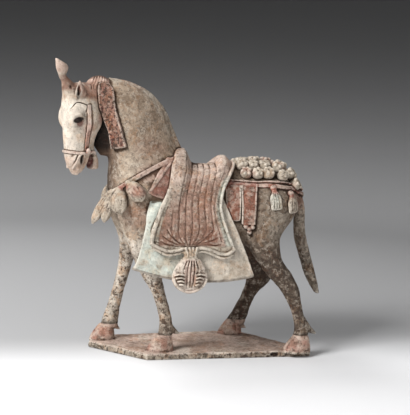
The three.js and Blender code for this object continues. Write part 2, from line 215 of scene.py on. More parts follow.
class Clay:
    """Block of clay: the distance to its surface on a regular grid, under 0 inside."""

    def __init__(self, low, high, step):
        self.step = step
        self.low = np.floor(np.asarray(low, float) / step) * step
        size = np.ceil((np.asarray(high) - self.low) / step).astype(int) + 1
        self.depth = np.full(size, FAR, np.float32)

    def measured(self, body, reach):
        """The window of the grid around a body, and the distances to it there."""
        points, faces = body
        band = math.ceil(reach / self.step) + 3
        scale = openvdb.createLinearTransform(voxelSize=self.step)
        cloud = openvdb.FloatGrid.createLevelSetFromPolygons(
            (points - self.low).astype(np.float32),
            triangles=np.ascontiguousarray(faces, np.uint32),
            transform=scale,
            halfWidth=float(band),
        )
        first = np.floor((points.min(0) - self.low) / self.step).astype(int) - band
        last = np.ceil((points.max(0) - self.low) / self.step).astype(int) + band
        first, last = np.maximum(first, 0), np.minimum(last, self.depth.shape)
        far = np.empty(last - first, np.float32)
        cloud.copyToArray(far, ijk=tuple(int(v) for v in first))
        far[far > (band - 0.5) * self.step] = FAR
        return tuple(slice(a, b) for a, b in zip(first, last)), far

    def lay(self, body, blend=0.01, reach=4):
        """Adds a body, its join smoothed over about blend; reach covers later joins with it."""
        window, far = self.measured(body, max(blend, reach))
        near = self.depth[window]
        h = np.clip(0.5 + 0.5 * (near - far) / blend, 0, 1)
        self.depth[window] = near + (far - near) * h - blend * h * (1 - h)

    def cut(self, body, blend=0.01):
        """Takes a body away, the edge softened over about blend."""
        window, far = self.measured(body, blend + 1)
        near = self.depth[window]
        h = np.clip(0.5 - 0.5 * (near + far) / blend, 0, 1)
        self.depth[window] = near - (far + near) * h + blend * h * (1 - h)

    def height(self, points):
        """Distance of each point from the surface."""
        at = (np.asarray(points) - self.low) / self.step
        at = np.clip(at, 0, np.array(self.depth.shape) - 1.001)
        i = at.astype(int)
        w = at - i
        total = 0
        for corner in np.ndindex(2, 2, 2):
            share = np.prod(np.where(corner, w, 1 - w), axis=-1)
            x, y, z = (i + corner).T
            total = total + share * self.depth[x, y, z]
        return total

    def out(self, points):
        """Direction away from the surface at each point."""
        steps = np.eye(3) * self.step
        slope = [self.height(points + s) - self.height(points - s) for s in steps]
        slope = np.stack(slope, 1) + 1e-9
        return slope / np.linalg.norm(slope, axis=1, keepdims=True)

    def settled(self, points, lift=0.0):
        """The points drawn onto the surface, then lifted off it."""
        points = np.asarray(points, float)
        for _ in range(4):
            points = points - self.out(points) * (self.height(points) - lift)[:, None]
        return points

    def gap(self, points):
        """Distance of each point from the surface, FAR away from the block."""
        high = self.low + self.step * (np.array(self.depth.shape) - 1)
        inside = np.all((points > self.low) & (points < high), axis=1)
        gap = np.full(len(points), FAR)
        gap[inside] = self.height(points[inside])
        return gap

    def hollow(self, points, size):
        """How deep each point lies in a hollow of about that size: 1 deep, 0 on flat or ridge."""
        reach = max(1, round(size / self.step))
        even = np.clip(self.depth, -2 * size, 2 * size)
        for axis in range(3):
            total = np.zeros_like(even)
            for shift in range(-reach, reach + 1):
                total += np.roll(even, shift, axis)
            even = total / (2 * reach + 1)
        kept, self.depth = self.depth, even
        under = -self.height(points)
        self.depth = kept
        return under / (0.35 * size)

    def skin(self, most):
        """The surface as a Skin of at most so many triangles, plain stretches coarsest."""
        size = openvdb.createLinearTransform(voxelSize=self.step)
        cloud = openvdb.FloatGrid(FAR)
        cloud.copyFromArray(self.depth)
        cloud.transform = size
        for coarse in (0, 0.002, 0.004, 0.008, 0.015, 0.03, 0.06):
            points, tris, quads = cloud.convertToPolygons(isovalue=0.0, adaptivity=coarse)
            if len(tris) + 2 * len(quads) <= most:
                break
        else:
            raise RuntimeError(f"the surface needs more than {most} triangles")
        return Skin(points + self.low, tris, quads)


class Lumps:
    """Smooth uneven field in space, between about -1 and 1, with lumps of a given size."""

    def __init__(self, seed):
        self.table = np.random.default_rng(seed).uniform(-1, 1, (32, 32, 32))

    def __call__(self, points, size):
        at = np.asarray(points) / size
        i = np.floor(at).astype(int)
        w = at - i
        w = w * w * (3 - 2 * w)
        total = 0
        for corner in np.ndindex(2, 2, 2):
            share = np.prod(np.where(corner, w, 1 - w), axis=-1)
            x, y, z = ((i + corner) % 32).T
            total = total + share * self.table[x, y, z]
        return total


def soft(x, low, high):
    """0 below low, 1 above high, smooth between; low may be the greater one."""
    t = np.clip((x - low) / (high - low), 0, 1)
    return t * t * (3 - 2 * t)


class Skin:
    """Surface mesh under the tools: points, triangles, quads and named shares on points."""

    def __init__(self, points, tris, quads):
        self.points = np.asarray(points, float)
        self.tris = np.asarray(tris, int).reshape(-1, 3)
        self.quads = np.asarray(quads, int).reshape(-1, 4)
        self.marks = {}
        corner = self.points[self.quads[:, :3]] if len(self.quads) else self.points[self.tris]
        a, b, c = corner[:, 0], corner[:, 1], corner[:, 2]
        if np.sum(a * np.cross(b, c)) < 0:
            self.tris, self.quads = self.tris[:, ::-1], self.quads[:, ::-1]

    def facing(self):
        """Outward direction at each point."""
        total = np.zeros_like(self.points)
        for faces in (self.tris, self.quads):
            if len(faces):
                a, b, c = (self.points[faces[:, i]] for i in (0, 1, 2))
                flat = np.cross(b - a, c - a)
                for i in range(faces.shape[1]):
                    for axis in range(3):
                        total[:, axis] += np.bincount(faces[:, i], flat[:, axis], len(total))
        return total / (np.linalg.norm(total, axis=1, keepdims=True) + 1e-12)

    def push(self, amount):
        """Moves each point outwards by its own amount."""
        self.points = self.points + self.facing() * np.asarray(amount)[:, None]

    def mark(self, name, share):
        """Keeps a value for each point, from -1 to 1."""
        self.marks[name] = np.clip(share, -1, 1) + np.zeros(len(self.points))


# ---------------------------------------------------------------- colour
def srgb(red, green, blue):
    """Linear colour from the 0 to 255 shades that a screen shows."""
    shades = np.array([red, green, blue]) / 255
    return np.where(shades <= 0.04045, shades / 12.92, ((shades + 0.055) / 1.055) ** 2.4)


def hue(pigment):
    """Linear colour of a pigment, given by its name or as a colour."""
    if isinstance(pigment, str):
        pigment = tuple(getattr(bpy.context.scene.pottery_pigments, pigment))
    return np.asarray(pigment, float)


def mixed(first, second, share):
    """Colour part of the way from the first to the second."""
    return hue(first) * (1 - share) + hue(second) * share


class Coat:
    """Colours a skin: a ground, then further colours over shares of it."""

    def __init__(self, points, ground):
        self.colour = np.tile(hue(ground), (len(points), 1))

    def brush(self, pigment, share):
        """Lays a pigment over the share of each point."""
        self.colour += (hue(pigment) - self.colour) * np.clip(share, 0, 1)[:, None]
        return self


def patch(u, v, middle, radii, rim, core):
    """Oval share of the points at u and v: 1 within core of its radii, 0 past rim."""
    return soft(np.hypot((u - middle[0]) / radii[0], (v - middle[1]) / radii[1]), rim, core)


MARKS = ("soil_and_shadow", "wear", "stain")  # kept on each mesh for its finish


class Term:
    """Wraps a shader node's socket, so that sums of terms add the Math nodes they need."""

    def __init__(self, shader, socket):
        self.shader = shader
        self.socket = socket

    def maths(self, operation, first, second):
        return self.shader.node("ShaderNodeMath", {"operation": operation}, {0: first, 1: second})

    def __add__(self, other):
        return self.maths("ADD", self, other)

    def __sub__(self, other):
        return self.maths("SUBTRACT", self, other)

    def __rsub__(self, other):
        return self.maths("SUBTRACT", other, self)

    def __mul__(self, other):
        return self.maths("MULTIPLY", self, other)

    __radd__ = __add__
    __rmul__ = __mul__

    def between(self, low, high):
        """0 below low, 1 above high, smooth between."""
        settings = {"interpolation_type": "SMOOTHSTEP"}
        inputs = {"Value": self, "From Min": low, "From Max": high}
        return self.shader.node("ShaderNodeMapRange", settings, inputs, "Result")


class Shader:
    """A material's node tree."""

    def __init__(self, name):
        self.material = bpy.data.materials.new(name)
        self.material.use_nodes = True
        self.tree = self.material.node_tree
        self.surface = self.tree.nodes["Principled BSDF"]

    def node(self, kind, settings=None, inputs=None, output=0):
        """Adds a node: its settings, then the values or terms of its sockets."""
        added = self.tree.nodes.new(kind)
        for key, value in (settings or {}).items():
            setattr(added, key, value)
        for key, value in (inputs or {}).items():
            self.plug(added.inputs[key], value)
        return Term(self, added.outputs[output])

    def plug(self, socket, value):
        if isinstance(value, Term):
            self.tree.links.new(value.socket, socket)
        else:
            socket.default_value = value

    def mix(self, share, first, second, blend="MIX"):
        """Colour between two colours."""
        settings = {"data_type": "RGBA", "blend_type": blend}
        return self.node("ShaderNodeMix", settings, {0: share, 6: first, 7: second}, 2)

    def noise(self, place, size, detail=3.0, rough=0.6):
        """Uneven value about 0.5 with lumps of so many millimetres."""
        inputs = {"Vector": place, "Scale": 1 / (size * MM), "Detail": detail, "Roughness": rough}
        return self.node("ShaderNodeTexNoise", None, inputs)

    def mark(self, name):
        return self.node("ShaderNodeAttribute", {"attribute_name": name}, None, "Fac")


def painted_pottery(name, sizes):
    """Unglazed clay under worn slip and pigment, reading the marks kept on the mesh."""
    shader = Shader(name)
    place = shader.node("ShaderNodeTexCoord", None, None, "Object")
    coat = shader.node("ShaderNodeAttribute", {"attribute_name": "coat"}, None, "Color")
    cloud = shader.noise(place, 30, 4, 0.6)
    mottle = shader.noise(place, 8, 5, 0.65)
    grain = shader.noise(place, 2.6, 4, 0.7)
    drift = shader.noise(place, 14, 5, 0.75)
    soil_and_shadow, wear, stain = (shader.mark(name) for name in MARKS)
    rusty, bared, crumbly, crust_and_shadow_tint = (
        (0.86, 0.62, 0.44, 1), (0.50, 0.44, 0.38, 1), (0.30, 0.24, 0.20, 1), (0.17, 0.12, 0.09, 1))

    shade = 1.0 - mottle.between(0.40, 0.60) * 0.5 - grain.between(0.38, 0.62) * 0.5
    light = 1.18 - shade * (0.34 + stain * 0.5)
    colour = shader.mix(1.0, coat, shader.node(
        "ShaderNodeCombineColor", None, {0: light, 1: light, 2: light}), "MULTIPLY")
    rust = (shader.noise(place, 17, 4, 0.7) * 0.8 + grain * 0.2).between(0.49, 0.62)
    colour = shader.mix(rust * (0.35 + stain * 0.5), colour, rusty, "MULTIPLY")
    bare = (cloud * 0.5 + drift * 0.5).between(0.47, 0.58)
    colour = shader.mix(bare * wear * 0.55, colour, bared, "MULTIPLY")
    rubbed = (mottle * 0.7 + drift * 0.3 - soil_and_shadow * 0.15).between(0.50, 0.60)
    colour = shader.mix(rubbed * wear * 0.5, colour, (*mixed("chalk_and_highlight", "slip", 0.5), 1))
    crumbs = (grain * 0.55 + mottle * 0.45).between(0.50, 0.55) * drift.between(0.40, 0.56)
    colour = shader.mix(crumbs * stain * 0.8, colour, crumbly, "MULTIPLY")
    fleck = (grain * 0.7 + cloud * 0.3).between(0.56, 0.64)
    colour = shader.mix(fleck * stain * 0.6, colour, (*hue("oxblood") * 0.6, 1))
    # Dark crust from that mark: dirt in the hollows, with the painted shade and shadow by other pieces.
    crust_and_shadow = (soil_and_shadow + (grain - 0.5) * 1.2 + (mottle - 0.5) * 1.6).between(0.05, 0.7)
    colour = shader.mix(crust_and_shadow * 0.92, colour, crust_and_shadow_tint, "MULTIPLY")
    ridge = (soil_and_shadow * -1.0 + (grain - 0.5) * 0.8).between(0.2, 0.9)
    colour = shader.mix(ridge * wear * 0.4, colour, (*hue("slip"), 1))
    speck = shader.noise(place, 4.2, 2, 0.6) + stain * 0.05 + (drift - 0.5) * 0.35
    speck = speck.between(0.60, 0.64) * (0.05 + stain * 0.85)
    colour = shader.mix(speck, colour, (*hue("dark_earth_and_shade"), 1))
    shader.plug(shader.surface.inputs["Base Color"], colour)
    shader.plug(shader.surface.inputs["Roughness"], 0.8 + grain * 0.25)
    shader.surface.inputs["Specular IOR Level"].default_value = 0.25
    relief = mottle * 1.4 + grain * 1.2 - speck * 0.6 - crumbs * 0.4
    bump = shader.node("ShaderNodeBump", None, {
        "Strength": sizes.pitting, "Distance": 1.0 * MM, "Height": relief}, "Normal")
    shader.plug(shader.surface.inputs["Normal"], bump)
    return shader.material


def finished(skin, coat, name):
    """Turns a coloured skin into a piece that rides on the body."""
    points = (skin.points + SLAB_MIDDLE) * MM
    mesh = bpy.data.meshes.new(name)
    corners = np.concatenate([skin.tris.ravel(), skin.quads.ravel()])
    first = 3 * len(skin.tris)
    starts = np.concatenate([np.arange(0, first, 3), first + np.arange(0, 4 * len(skin.quads), 4)])
    mesh.vertices.add(len(points))
    mesh.vertices.foreach_set("co", points.astype(np.float32).ravel())
    mesh.loops.add(len(corners))
    mesh.loops.foreach_set("vertex_index", corners.astype(np.int32))
    mesh.polygons.add(len(starts))
    mesh.polygons.foreach_set("loop_start", starts.astype(np.int32))
    mesh.update(calc_edges=True)
    mesh.validate()
    mesh.shade_smooth()
    layer = mesh.attributes.new("coat", "FLOAT_COLOR", "POINT")
    full = np.concatenate([coat.colour, np.ones((len(points), 1))], 1)
    layer.data.foreach_set("color", full.astype(np.float32).ravel())
    for mark in MARKS:
        layer = mesh.attributes.new(mark, "FLOAT", "POINT")
        layer.data.foreach_set("value", skin.marks[mark].astype(np.float32))
    piece = bpy.data.objects.new(name, mesh)
    bpy.context.collection.objects.link(piece)
    finish = "fired_clay"
    material = bpy.data.materials.get(finish)
    mesh.materials.append(material or painted_pottery(finish, bpy.context.scene.pottery_sizes))
    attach(piece, "root")
    return piece


# ---------------------------------------------------------------- the bare horse
BARREL = [
    [-124, 204, -126, 262, 34, 0, 0.1],
    [-104, 174, -104, 276, 44, 0, 0.1],
    [-68, 158, -68, 284, 50, 0, 0.1],
    [-16, 150, -16, 276, 53, 0, 0.1],
    [42, 152, 42, 274, 52, 0, 0.05],
    [86, 164, 86, 277, 52, 0, 0.05],
    [120, 184, 118, 271, 46, 0, 0.1],
    [138, 206, 138, 254, 28, 0, 0.1],
]
NECK = [
    [-114, 205, -4, 252, 43, 0, 0.3],
    [-126, 236, -30, 285, 42, 0, 0.35],
    [-134, 266, -43, 309, 38, 0, 0.4],
    [-140, 294, -51, 332, 34, -1, 0.45],
    [-144, 320, -64, 357, 31, -3, 0.45],
    [-150, 340, -90, 380, 26, -5, 0.45],
    [-160, 350, -122, 390, 22, -7, 0.35],
    [-170, 354, -150, 393, 18, -9, 0.2],
]
CREST = [
    [-40, 280, -28, 292, 4, 0],
    [-52, 318, -43, 322, 4, 0],
    [-64, 342, -56, 350, 4, -1],
    [-84, 364, -78, 374, 4, -3],
    [-112, 378, -108, 389, 4, -5],
    [-140, 384, -140, 395, 4, -8],
]
LEFT_FORELEG = [
    [-122, 200, -56, 196, 20, -24],
    [-108, 158, -64, 156, 15, -29],
    [-90, 119, -60, 118, 12, -31],
    [-76, 98, -56, 99, 9.5, -32],
    [-66, 74, -49, 76, 7.5, -32],
    [-61, 54, -43, 55, 8.5, -32],
    [-61, 38, -41, 38, 9, -32],
    [-63, 26, -43, 26, 9.5, -32],
]
RIGHT_FORELEG = [
    [-128, 205, -74, 196, 20, 22],
    [-113, 162, -84, 155, 14, 31],
    [-111, 128, -90, 126, 11, 37],
    [-115, 98, -97, 98, 9.5, 41],
    [-122, 68, -104, 68, 8, 43],
    [-130, 42, -107, 42, 9, 45],
    [-134, 28, -108, 28, 10, 45],
]
LEFT_HINDLEG = [
    [64, 238, 136, 230, 22, -27],
    [60, 200, 118, 200, 23, -34],
    [62, 172, 111, 172, 20, -39],
    [72, 148, 114, 146, 16, -42],
    [93, 121, 130, 122, 12, -45],
    [114, 99, 142, 100, 10, -46],
    [126, 80, 146, 83, 8, -46],
    [135, 60, 152, 61, 7.5, -46],
    [139, 42, 160, 40, 9, -46],
    [136, 27, 158, 27, 9.5, -46],
]
RIGHT_HINDLEG = [
    [60, 238, 136, 230, 22, 27],
    [58, 200, 122, 200, 23, 37],
    [64, 165, 126, 165, 20, 46],
    [78, 128, 137, 124, 15, 54],
    [92, 98, 131, 95, 11, 59],
    [87, 72, 111, 73, 8.5, 62],
    [79, 54, 103, 55, 8, 64],
    [69, 36, 98, 36, 9, 65],
    [62, 24, 94, 24, 10, 66],
]
TAIL = [
    [128, 236, 142, 258, 9],
    [143, 214, 158, 222, 9],
    [144, 190, 161, 192, 8.5],
    [147, 166, 165, 168, 8],
    [156, 140, 173, 143, 8],
    [167, 110, 183, 112, 7.5],
    [181, 88, 190, 86, 5],
]
# toe, heel, y, and the x and z of the tip of the spur of hair behind the fetlock
HOOVES = [
    [-79, -39, -32, -31, 34],
    [-150, -112, 45, -104, 24],
    [122, 164, -46, 172, 35],
    [52, 90, 66, 98, 18],
]
SKULL = [
    [-4, 376, -46, 382, 15],
    [2, 362, -57, 365, 19.5],
    [2, 346, -59, 349, 19.5],
    [0, 330, -57, 334, 18],
    [-6, 313, -56, 316, 15.5],
    [-12, 299, -54, 300, 14],
    [-20, 287, -53, 287, 14],
    [-24, 276, -50, 277, 12.5],
    [-28, 267, -45.5, 269, 10.5],
    [-33, 260, -41, 261, 7],
]
LOWER_JAW = [
    [-10, 312, -30, 308, 13],
    [-9, 295, -21, 294, 10.5],
    [-2, 281, -17, 281, 11],
    [0, 269, -16, 269, 9.5],
]


def hoof_parts(toe, heel, y, spur_x, spur_z):
    """The hoof, and the spur of hair behind the fetlock."""
    sole, middle = SLAB_TOP - 3, (toe + heel) / 2
    front, back = middle - toe, heel - middle
    hoof = ribbed([
        [toe, sole, heel, sole, 15, y],
        [toe + 0.12 * front, sole + 8, heel - 0.02 * back, sole + 8, 14, y],
        [toe + 0.42 * front, sole + 17, heel - 0.08 * back, sole + 17, 12, y],
        [toe + 0.70 * front, sole + 24, heel - 0.16 * back, sole + 23, 10, y],
    ], ends=(0, 0.3), square=0.9)
    spur = ribbed([
        [spur_x - 26, spur_z + 5, spur_x - 20, spur_z + 24, 6, y],
        [spur_x - 10, spur_z, spur_x - 9, spur_z + 10, 5, y],
        [spur_x - 1, spur_z - 2, spur_x - 1, spur_z + 1, 1.5, y],
    ])
    return hoof, spur


def slab_body():
    """The slab under the hooves, trimmed aslant to where they stand."""
    outline = np.array([
        [-82, -55], [163, -50], [166, -40], [96, 70], [84, 82], [60, 84], [-140, 64], [-153, 28],
    ], float)
    centre = outline.mean(0)
    rings = []
    worn = 1.5
    upper = ((SLAB_TOP - worn, 1.0), (SLAB_TOP, 0.99), (SLAB_TOP, 0))
    for z, size in ((0, 0), (0, 0.995), (1.2, 1.0), *upper):
        ring = centre + (outline - centre) * size
        edges = [np.linspace(a, b, 30, endpoint=False) for a, b in zip(ring, np.roll(ring, -1, 0))]
        ring = np.concatenate(edges)
        rings.append(np.concatenate([ring, np.full((len(ring), 1), z)], 1))
    return skinned(np.array(rings))


def topknot():
    """The forelock tied upright, opening into a leaf above its tie."""
    return ribbed([
        [-36, 362, -58, 364, 12],
        [-37, 376, -61, 379, 8.5],
        [-43, 385, -62, 387, 6],
        [-53, 393, -65.5, 392, 3.8],
        [-56, 397, -67.5, 397, 3.8],
        [-53, 404, -71, 405, 5.5],
        [-54.5, 410, -72, 411, 5],
        [-68, 417, -73, 418.5, 2.5],
    ], ends=(0.3, 0.3))


@lru_cache
def head_clay(step):
    """Skull, jaw, cheeks, eyes, nostrils, mouth, ears and the tied forelock."""
    clay = Clay((-228, -56, 252), (-112, 42, 426), step)

    def lay(body, blend):
        clay.lay(on_head(body), blend, 8)

    def cut(body, blend):
        clay.cut(on_head(body), blend)

    lay(ribbed(SKULL, ends=(0.5, 0.5), square=0.9), 7)
    lay(ribbed(LOWER_JAW, ends=(0.3, 0.4)), 2)
    for side in SIDES:

        def bead(points, wide, deep, side=side):
            """A roll of clay over one side of the head."""
            return strip(np.array(points) * [1, side, 1], [(0, side, 0)] * len(points), wide, deep, ROUND)

        lay(ball((-19, side * 10, 335), (16, 11, 19)), 5)
        lay(ball((-48, side * 13, 339), (9, 7, 15)), 6)
        lay(ball((-43, side * 15.5, 345), (9, 5.5, 5.5)), 3)
        cut(ball((-46, side * 23, 335), (9, 6, 5)), 2.5)
        lay(ball((-45.5, side * 15, 336), (6.5, 4.6, 4.2)), 1)
        brim = [(-54, 11, 340), (-50, 16.5, 342.5), (-44, 19.5, 343), (-36, 19, 337)]
        lay(bead(brim, 2.8, 2.8), 1.5)
        crease = [(-54, 11, 351), (-50, 13, 356), (-46, 15, 359.5), (-38.5, 18, 358.5),
                  (-31.5, 20, 354.5), (-36.5, 21, 343)]
        cut(bead(crease, 0.65, 2.6), 0.8)
        lay(ball((-38, side * 11, 282), (9, 5, 9)), 3)
        wing = [(-30, 14, 284), (-34, 15.5, 289), (-40, 14.5, 285), (-43, 11.5, 277), (-45, 6.5, 268)]
        lay(bead(wing, 1.5, 1.9), 1.2)
        lay(bead([(-23, 10.5, 288), (-25, 9.5, 280), (-28, 8, 272), (-33, 5, 264)], 2.6, 2.6), 3)
        cut(ball((-36, side * 17, 280), (2.0, 4.5, 5.5)), 1.2)
        cut(bead([(-41, 17, 291), (-43, 14, 284), (-45.5, 11, 275), (-47, 6, 267)], 0.8, 2.0), 1)
        ear = -2 if side == LEFT else -7
        lay(ribbed([
            [-35, 367 + ear, -48, 369 + ear, 5, side * 14],
            [-34, 376 + ear, -50, 377 + ear, 5.5, side * 17],
            [-43, 390 + ear, -46, 391 + ear, 1.5, side * 18.5],
        ]), 1.5)
        cut(ball((-46.5, side * 22, 377 + ear), (2.3, 6, 9)), 1)
    cut(ribbed([
        [-16, 289, -18.5, 291, 40, 0],
        [-15, 280, -19.8, 282, 40, 0],
        [-14.8, 270, -22, 271, 40, 0],
        [-14.8, 256, -26, 256, 40, 0],
    ], ends=(0.2, 1.0)), 1.2)
    lay(ribbed([[-8, 292, -28, 292, 10, 0], [-10, 276, -25, 279, 8.5, 0]]), 2)
    lay(topknot(), 4)
    cut(ball((-52, LEFT * 9, 381), (2.5, 3, 3.5)), 1.5)
    clay.lay(ball((-155, -9, 383), (18, 17, 14)), 4)
    clay.lay(ball((-166, -14, 374), (13, 16, 13)), 5)
    for k in range(6):
        lock = [(-172 + 5 * k, -26, 376 + k), (-166 + 4.4 * k, -22, 387 + k), (-160 + 3 * k, -9, 398)]
        lock = clay.settled(track(lock, np.linspace(0, 1, 12)), 0.4)
        clay.cut(strip(lock, clay.out(lock), 0.8, 1.2, ROUND), 1)
    return clay


@lru_cache
def horse_clay(step):
    """The horse without head and trappings, on the slab."""
    clay = Clay((-190, -96, -4), (200, 96, 412), step)
    clay.lay(ribbed(BARREL, ends=(0.3, 0.6)), 1, 20)
    clay.lay(ribbed(NECK, ends=(0.1, 0.6)), 20, 20)
    clay.lay(ribbed([
        [-168, 340, -120, 346, 17, -8],
        [-165, 318, -112, 328, 15, -8],
        [-160, 300, -108, 308, 11, -8],
        [-150, 286, -108, 292, 8, -7],
    ], ends=(0.2, 0.3)), 7, 12)
    for side in SIDES:
        clay.lay(ball((98, side * 33, 222), (34, 20, 36)), 12, 18)
        clay.lay(ball((-92, side * 24, 214), (26, 20, 36)), 10, 18)
    for leg in (LEFT_FORELEG, RIGHT_FORELEG, LEFT_HINDLEG, RIGHT_HINDLEG):
        clay.lay(ribbed(leg, ends=(0.1, 0.3)), 18, 12)
    clay.lay(ribbed(CREST), 4)
    clay.lay(ribbed(TAIL, ends=(0.3, 0.6)), 4)
    clay.lay(ball((-157, -8, 385), (14, 12, 11)), 6)
    clay.lay(slab_body(), 2)
    clay.cut(ball((CHIP, -52.5, 4), (6, 4.5, 3.8)), 1)
    for row in HOOVES:
        hoof, spur = hoof_parts(*row)
        clay.lay(hoof, 1)
        clay.lay(spur, 2)
    return clay


def horse_coat(points):
    """Tan neck, pale chest, dark hindquarters, speckled legs, red hooves and slab, with painted shade on
    flank, belly, far hind leg, throat and hoof tops and a painted highlight on the haunch.
    """
    x, y, z = points.T
    coat = Coat(points, mixed("buff", "chalk_and_highlight", 0.15))
    coat.brush(mixed("grey_earth", "buff", 0.35), 0.9 * soft(x, 20, 90) * soft(z, 60, 120))
    # painted highlight: a paler patch on the haunch where the light falls
    coat.brush("chalk_and_highlight", 0.3 * patch(x, z, (100, 205), (22, 42), 1.2, 0.3))
    # painted shade on the flank beside the rear of the mudguard
    coat.brush("dark_earth_and_shade", 0.35 * soft(x, 84, 60) * soft(x, 20, 40) * soft(z, 250, 230))
    # painted shade under the belly and down the hind legs
    coat.brush("dark_earth_and_shade", 0.6 * soft(x, 40, 60) * soft(z, 180, 130))
    coat.brush("chalk_and_highlight", 0.35 * soft(x, 142, 150))
    # painted shade on the inner side of the far hind leg
    far_leg = soft(y, 10, 40) * soft(y, 66, 54)
    coat.brush("dark_earth_and_shade", 0.6 * soft(x, 40, 60) * far_leg * soft(z, 180, 150))
    coat.brush("dark_earth_and_shade", 0.4 * soft(z, 56, 42))
    coat.brush(mixed("red", "tan", 0.5), 0.5 * soft(x, 118, 134) * soft(z, 205, 225))
    coat.brush(mixed("buff", "chalk_and_highlight", 0.1), soft(z, 262, 310) * soft(x, -30, -60))
    coat.brush(mixed("chalk_and_highlight", "grey_earth", 0.4), 0.7 * soft(np.abs(y + 4), 15, 5) * soft(z, 300, 330))
    coat.brush(mixed("red", "tan", 0.6), 0.35 * soft(Lumps(21)(points, 30), 0, 0.5) * soft(z, 250, 300))
    coat.brush(mixed("chalk_and_highlight", "buff", 0.6), soft(x, -60, -110) * soft(z, 320, 262) * soft(z, 130, 190))
    coat.brush("slip", 0.75 * soft(x, -40, -80) * soft(z, 190, 160) * soft(z, 30, 45))
    coat.brush(mixed("tan", "red", 0.3), 0.55 * patch(x, z, (-100, 205), (26, 24), 1.2, 0.4))
    coat.brush(mixed("rose", "chalk_and_highlight", 0.3), 0.6 * patch(x, z, (-80, 262), (26, 16), 1.2, 0.5))
    flecks = soft(Lumps(31)(points, 3.6), 0.4, 0.6)
    coat.brush("slip", 0.6 * flecks * soft(z, 325, 345) * soft(x, -112, -95))
    # painted shade: the throat behind the jaw painted nearly black, where the jaw shades it
    coat.brush(hue("black_and_shade") * 0.5, 0.97 * soft(x, -131, -141) * soft(z, 272, 284) * soft(z, 356, 344))
    chest = soft(x, -122, -132) * soft(z, 300, 285) * soft(z, 150, 180)
    coat.brush(mixed("tan", "dark_earth_and_shade", 0.5), 0.75 * chest)
    # painted shade: a dark band round the tops of the hooves, where they meet the legs
    coat.brush("black_and_shade", 0.7 * soft(np.abs(z - 33), 3, 1))
    coat.brush(mixed(mixed("chalk_and_highlight", "slip", 0.3), "rose", 0.5), soft(z, 33, 31.5) * soft(z, 9, 10))
    bare = soft(Lumps(17)(points, 11), -0.3, 0.3)
    coat.brush("hoof_red", 0.6 * bare * soft(z, 32, 24) * soft(z, 9, 10))
    top = mixed(mixed("chalk_and_highlight", "slip", 0.7), "rose", 0.5)
    coat.brush(top, soft(z, 10.2, 9.2))
    coat.brush("slip", 0.5 * soft(Lumps(19)(points, 24), 0.1, 0.5) * soft(z, 10.2, 9.2))
    coat.brush(mixed("chalk_and_highlight", "buff", 0.5), soft(z, 8.3, 7.6))
    coat.brush("black_and_shade", 0.75 * soft(Lumps(27)(points, 4.5), 0.15, 0.45) * soft(z, 7.8, 6.8))
    coat.brush("dark_earth_and_shade", 0.6 * soft(z, 2.6, 1.2))
    coat.brush("black_and_shade", soft(np.hypot(x - CHIP, z - 4), 7, 5) * soft(y, -47, -49) * soft(z, 8.5, 7.5))
    return coat


def horse_stain(points):
    """Legs and slab are the most speckled."""
    z = points[:, 2]
    top = soft(z, 8.4, 8.8) * soft(z, 10.8, 10)
    hoof = soft(z, 34, 32) * soft(z, 10.8, 12)
    speckled = 0.4 + 0.5 * soft(z, 200, 120) + 0.2 * soft(points[:, 0], 20, 80)
    return speckled * (1 - 0.6 * top - 0.5 * hoof)


def horse_wear(points):
    """Worn all over, but not on the throat, where the painted shade behind the jaw stays nearly black."""
    x, _, z = points.T
    return 0.85 - 0.85 * soft(x, -129, -137) * soft(z, 270, 280) * soft(z, 358, 346)


def ahead_of_pivot(points):
    """How far the points lie ahead of the head's pivot, to its right, and their height."""
    turned = points - HEAD_PIVOT
    u = -turned @ np.array([math.cos(HEAD_TURN), math.sin(HEAD_TURN), 0])
    w = turned @ np.array([-math.sin(HEAD_TURN), math.cos(HEAD_TURN), 0])
    return u, w, points[:, 2]


def head_wear(points):
    """The face is rubbed, but not the sunken eyes."""
    u, _, z = ahead_of_pivot(points)
    return 0.4 * patch(u, z, (45.5, 336), (9, 6), 0.8, 1.3)


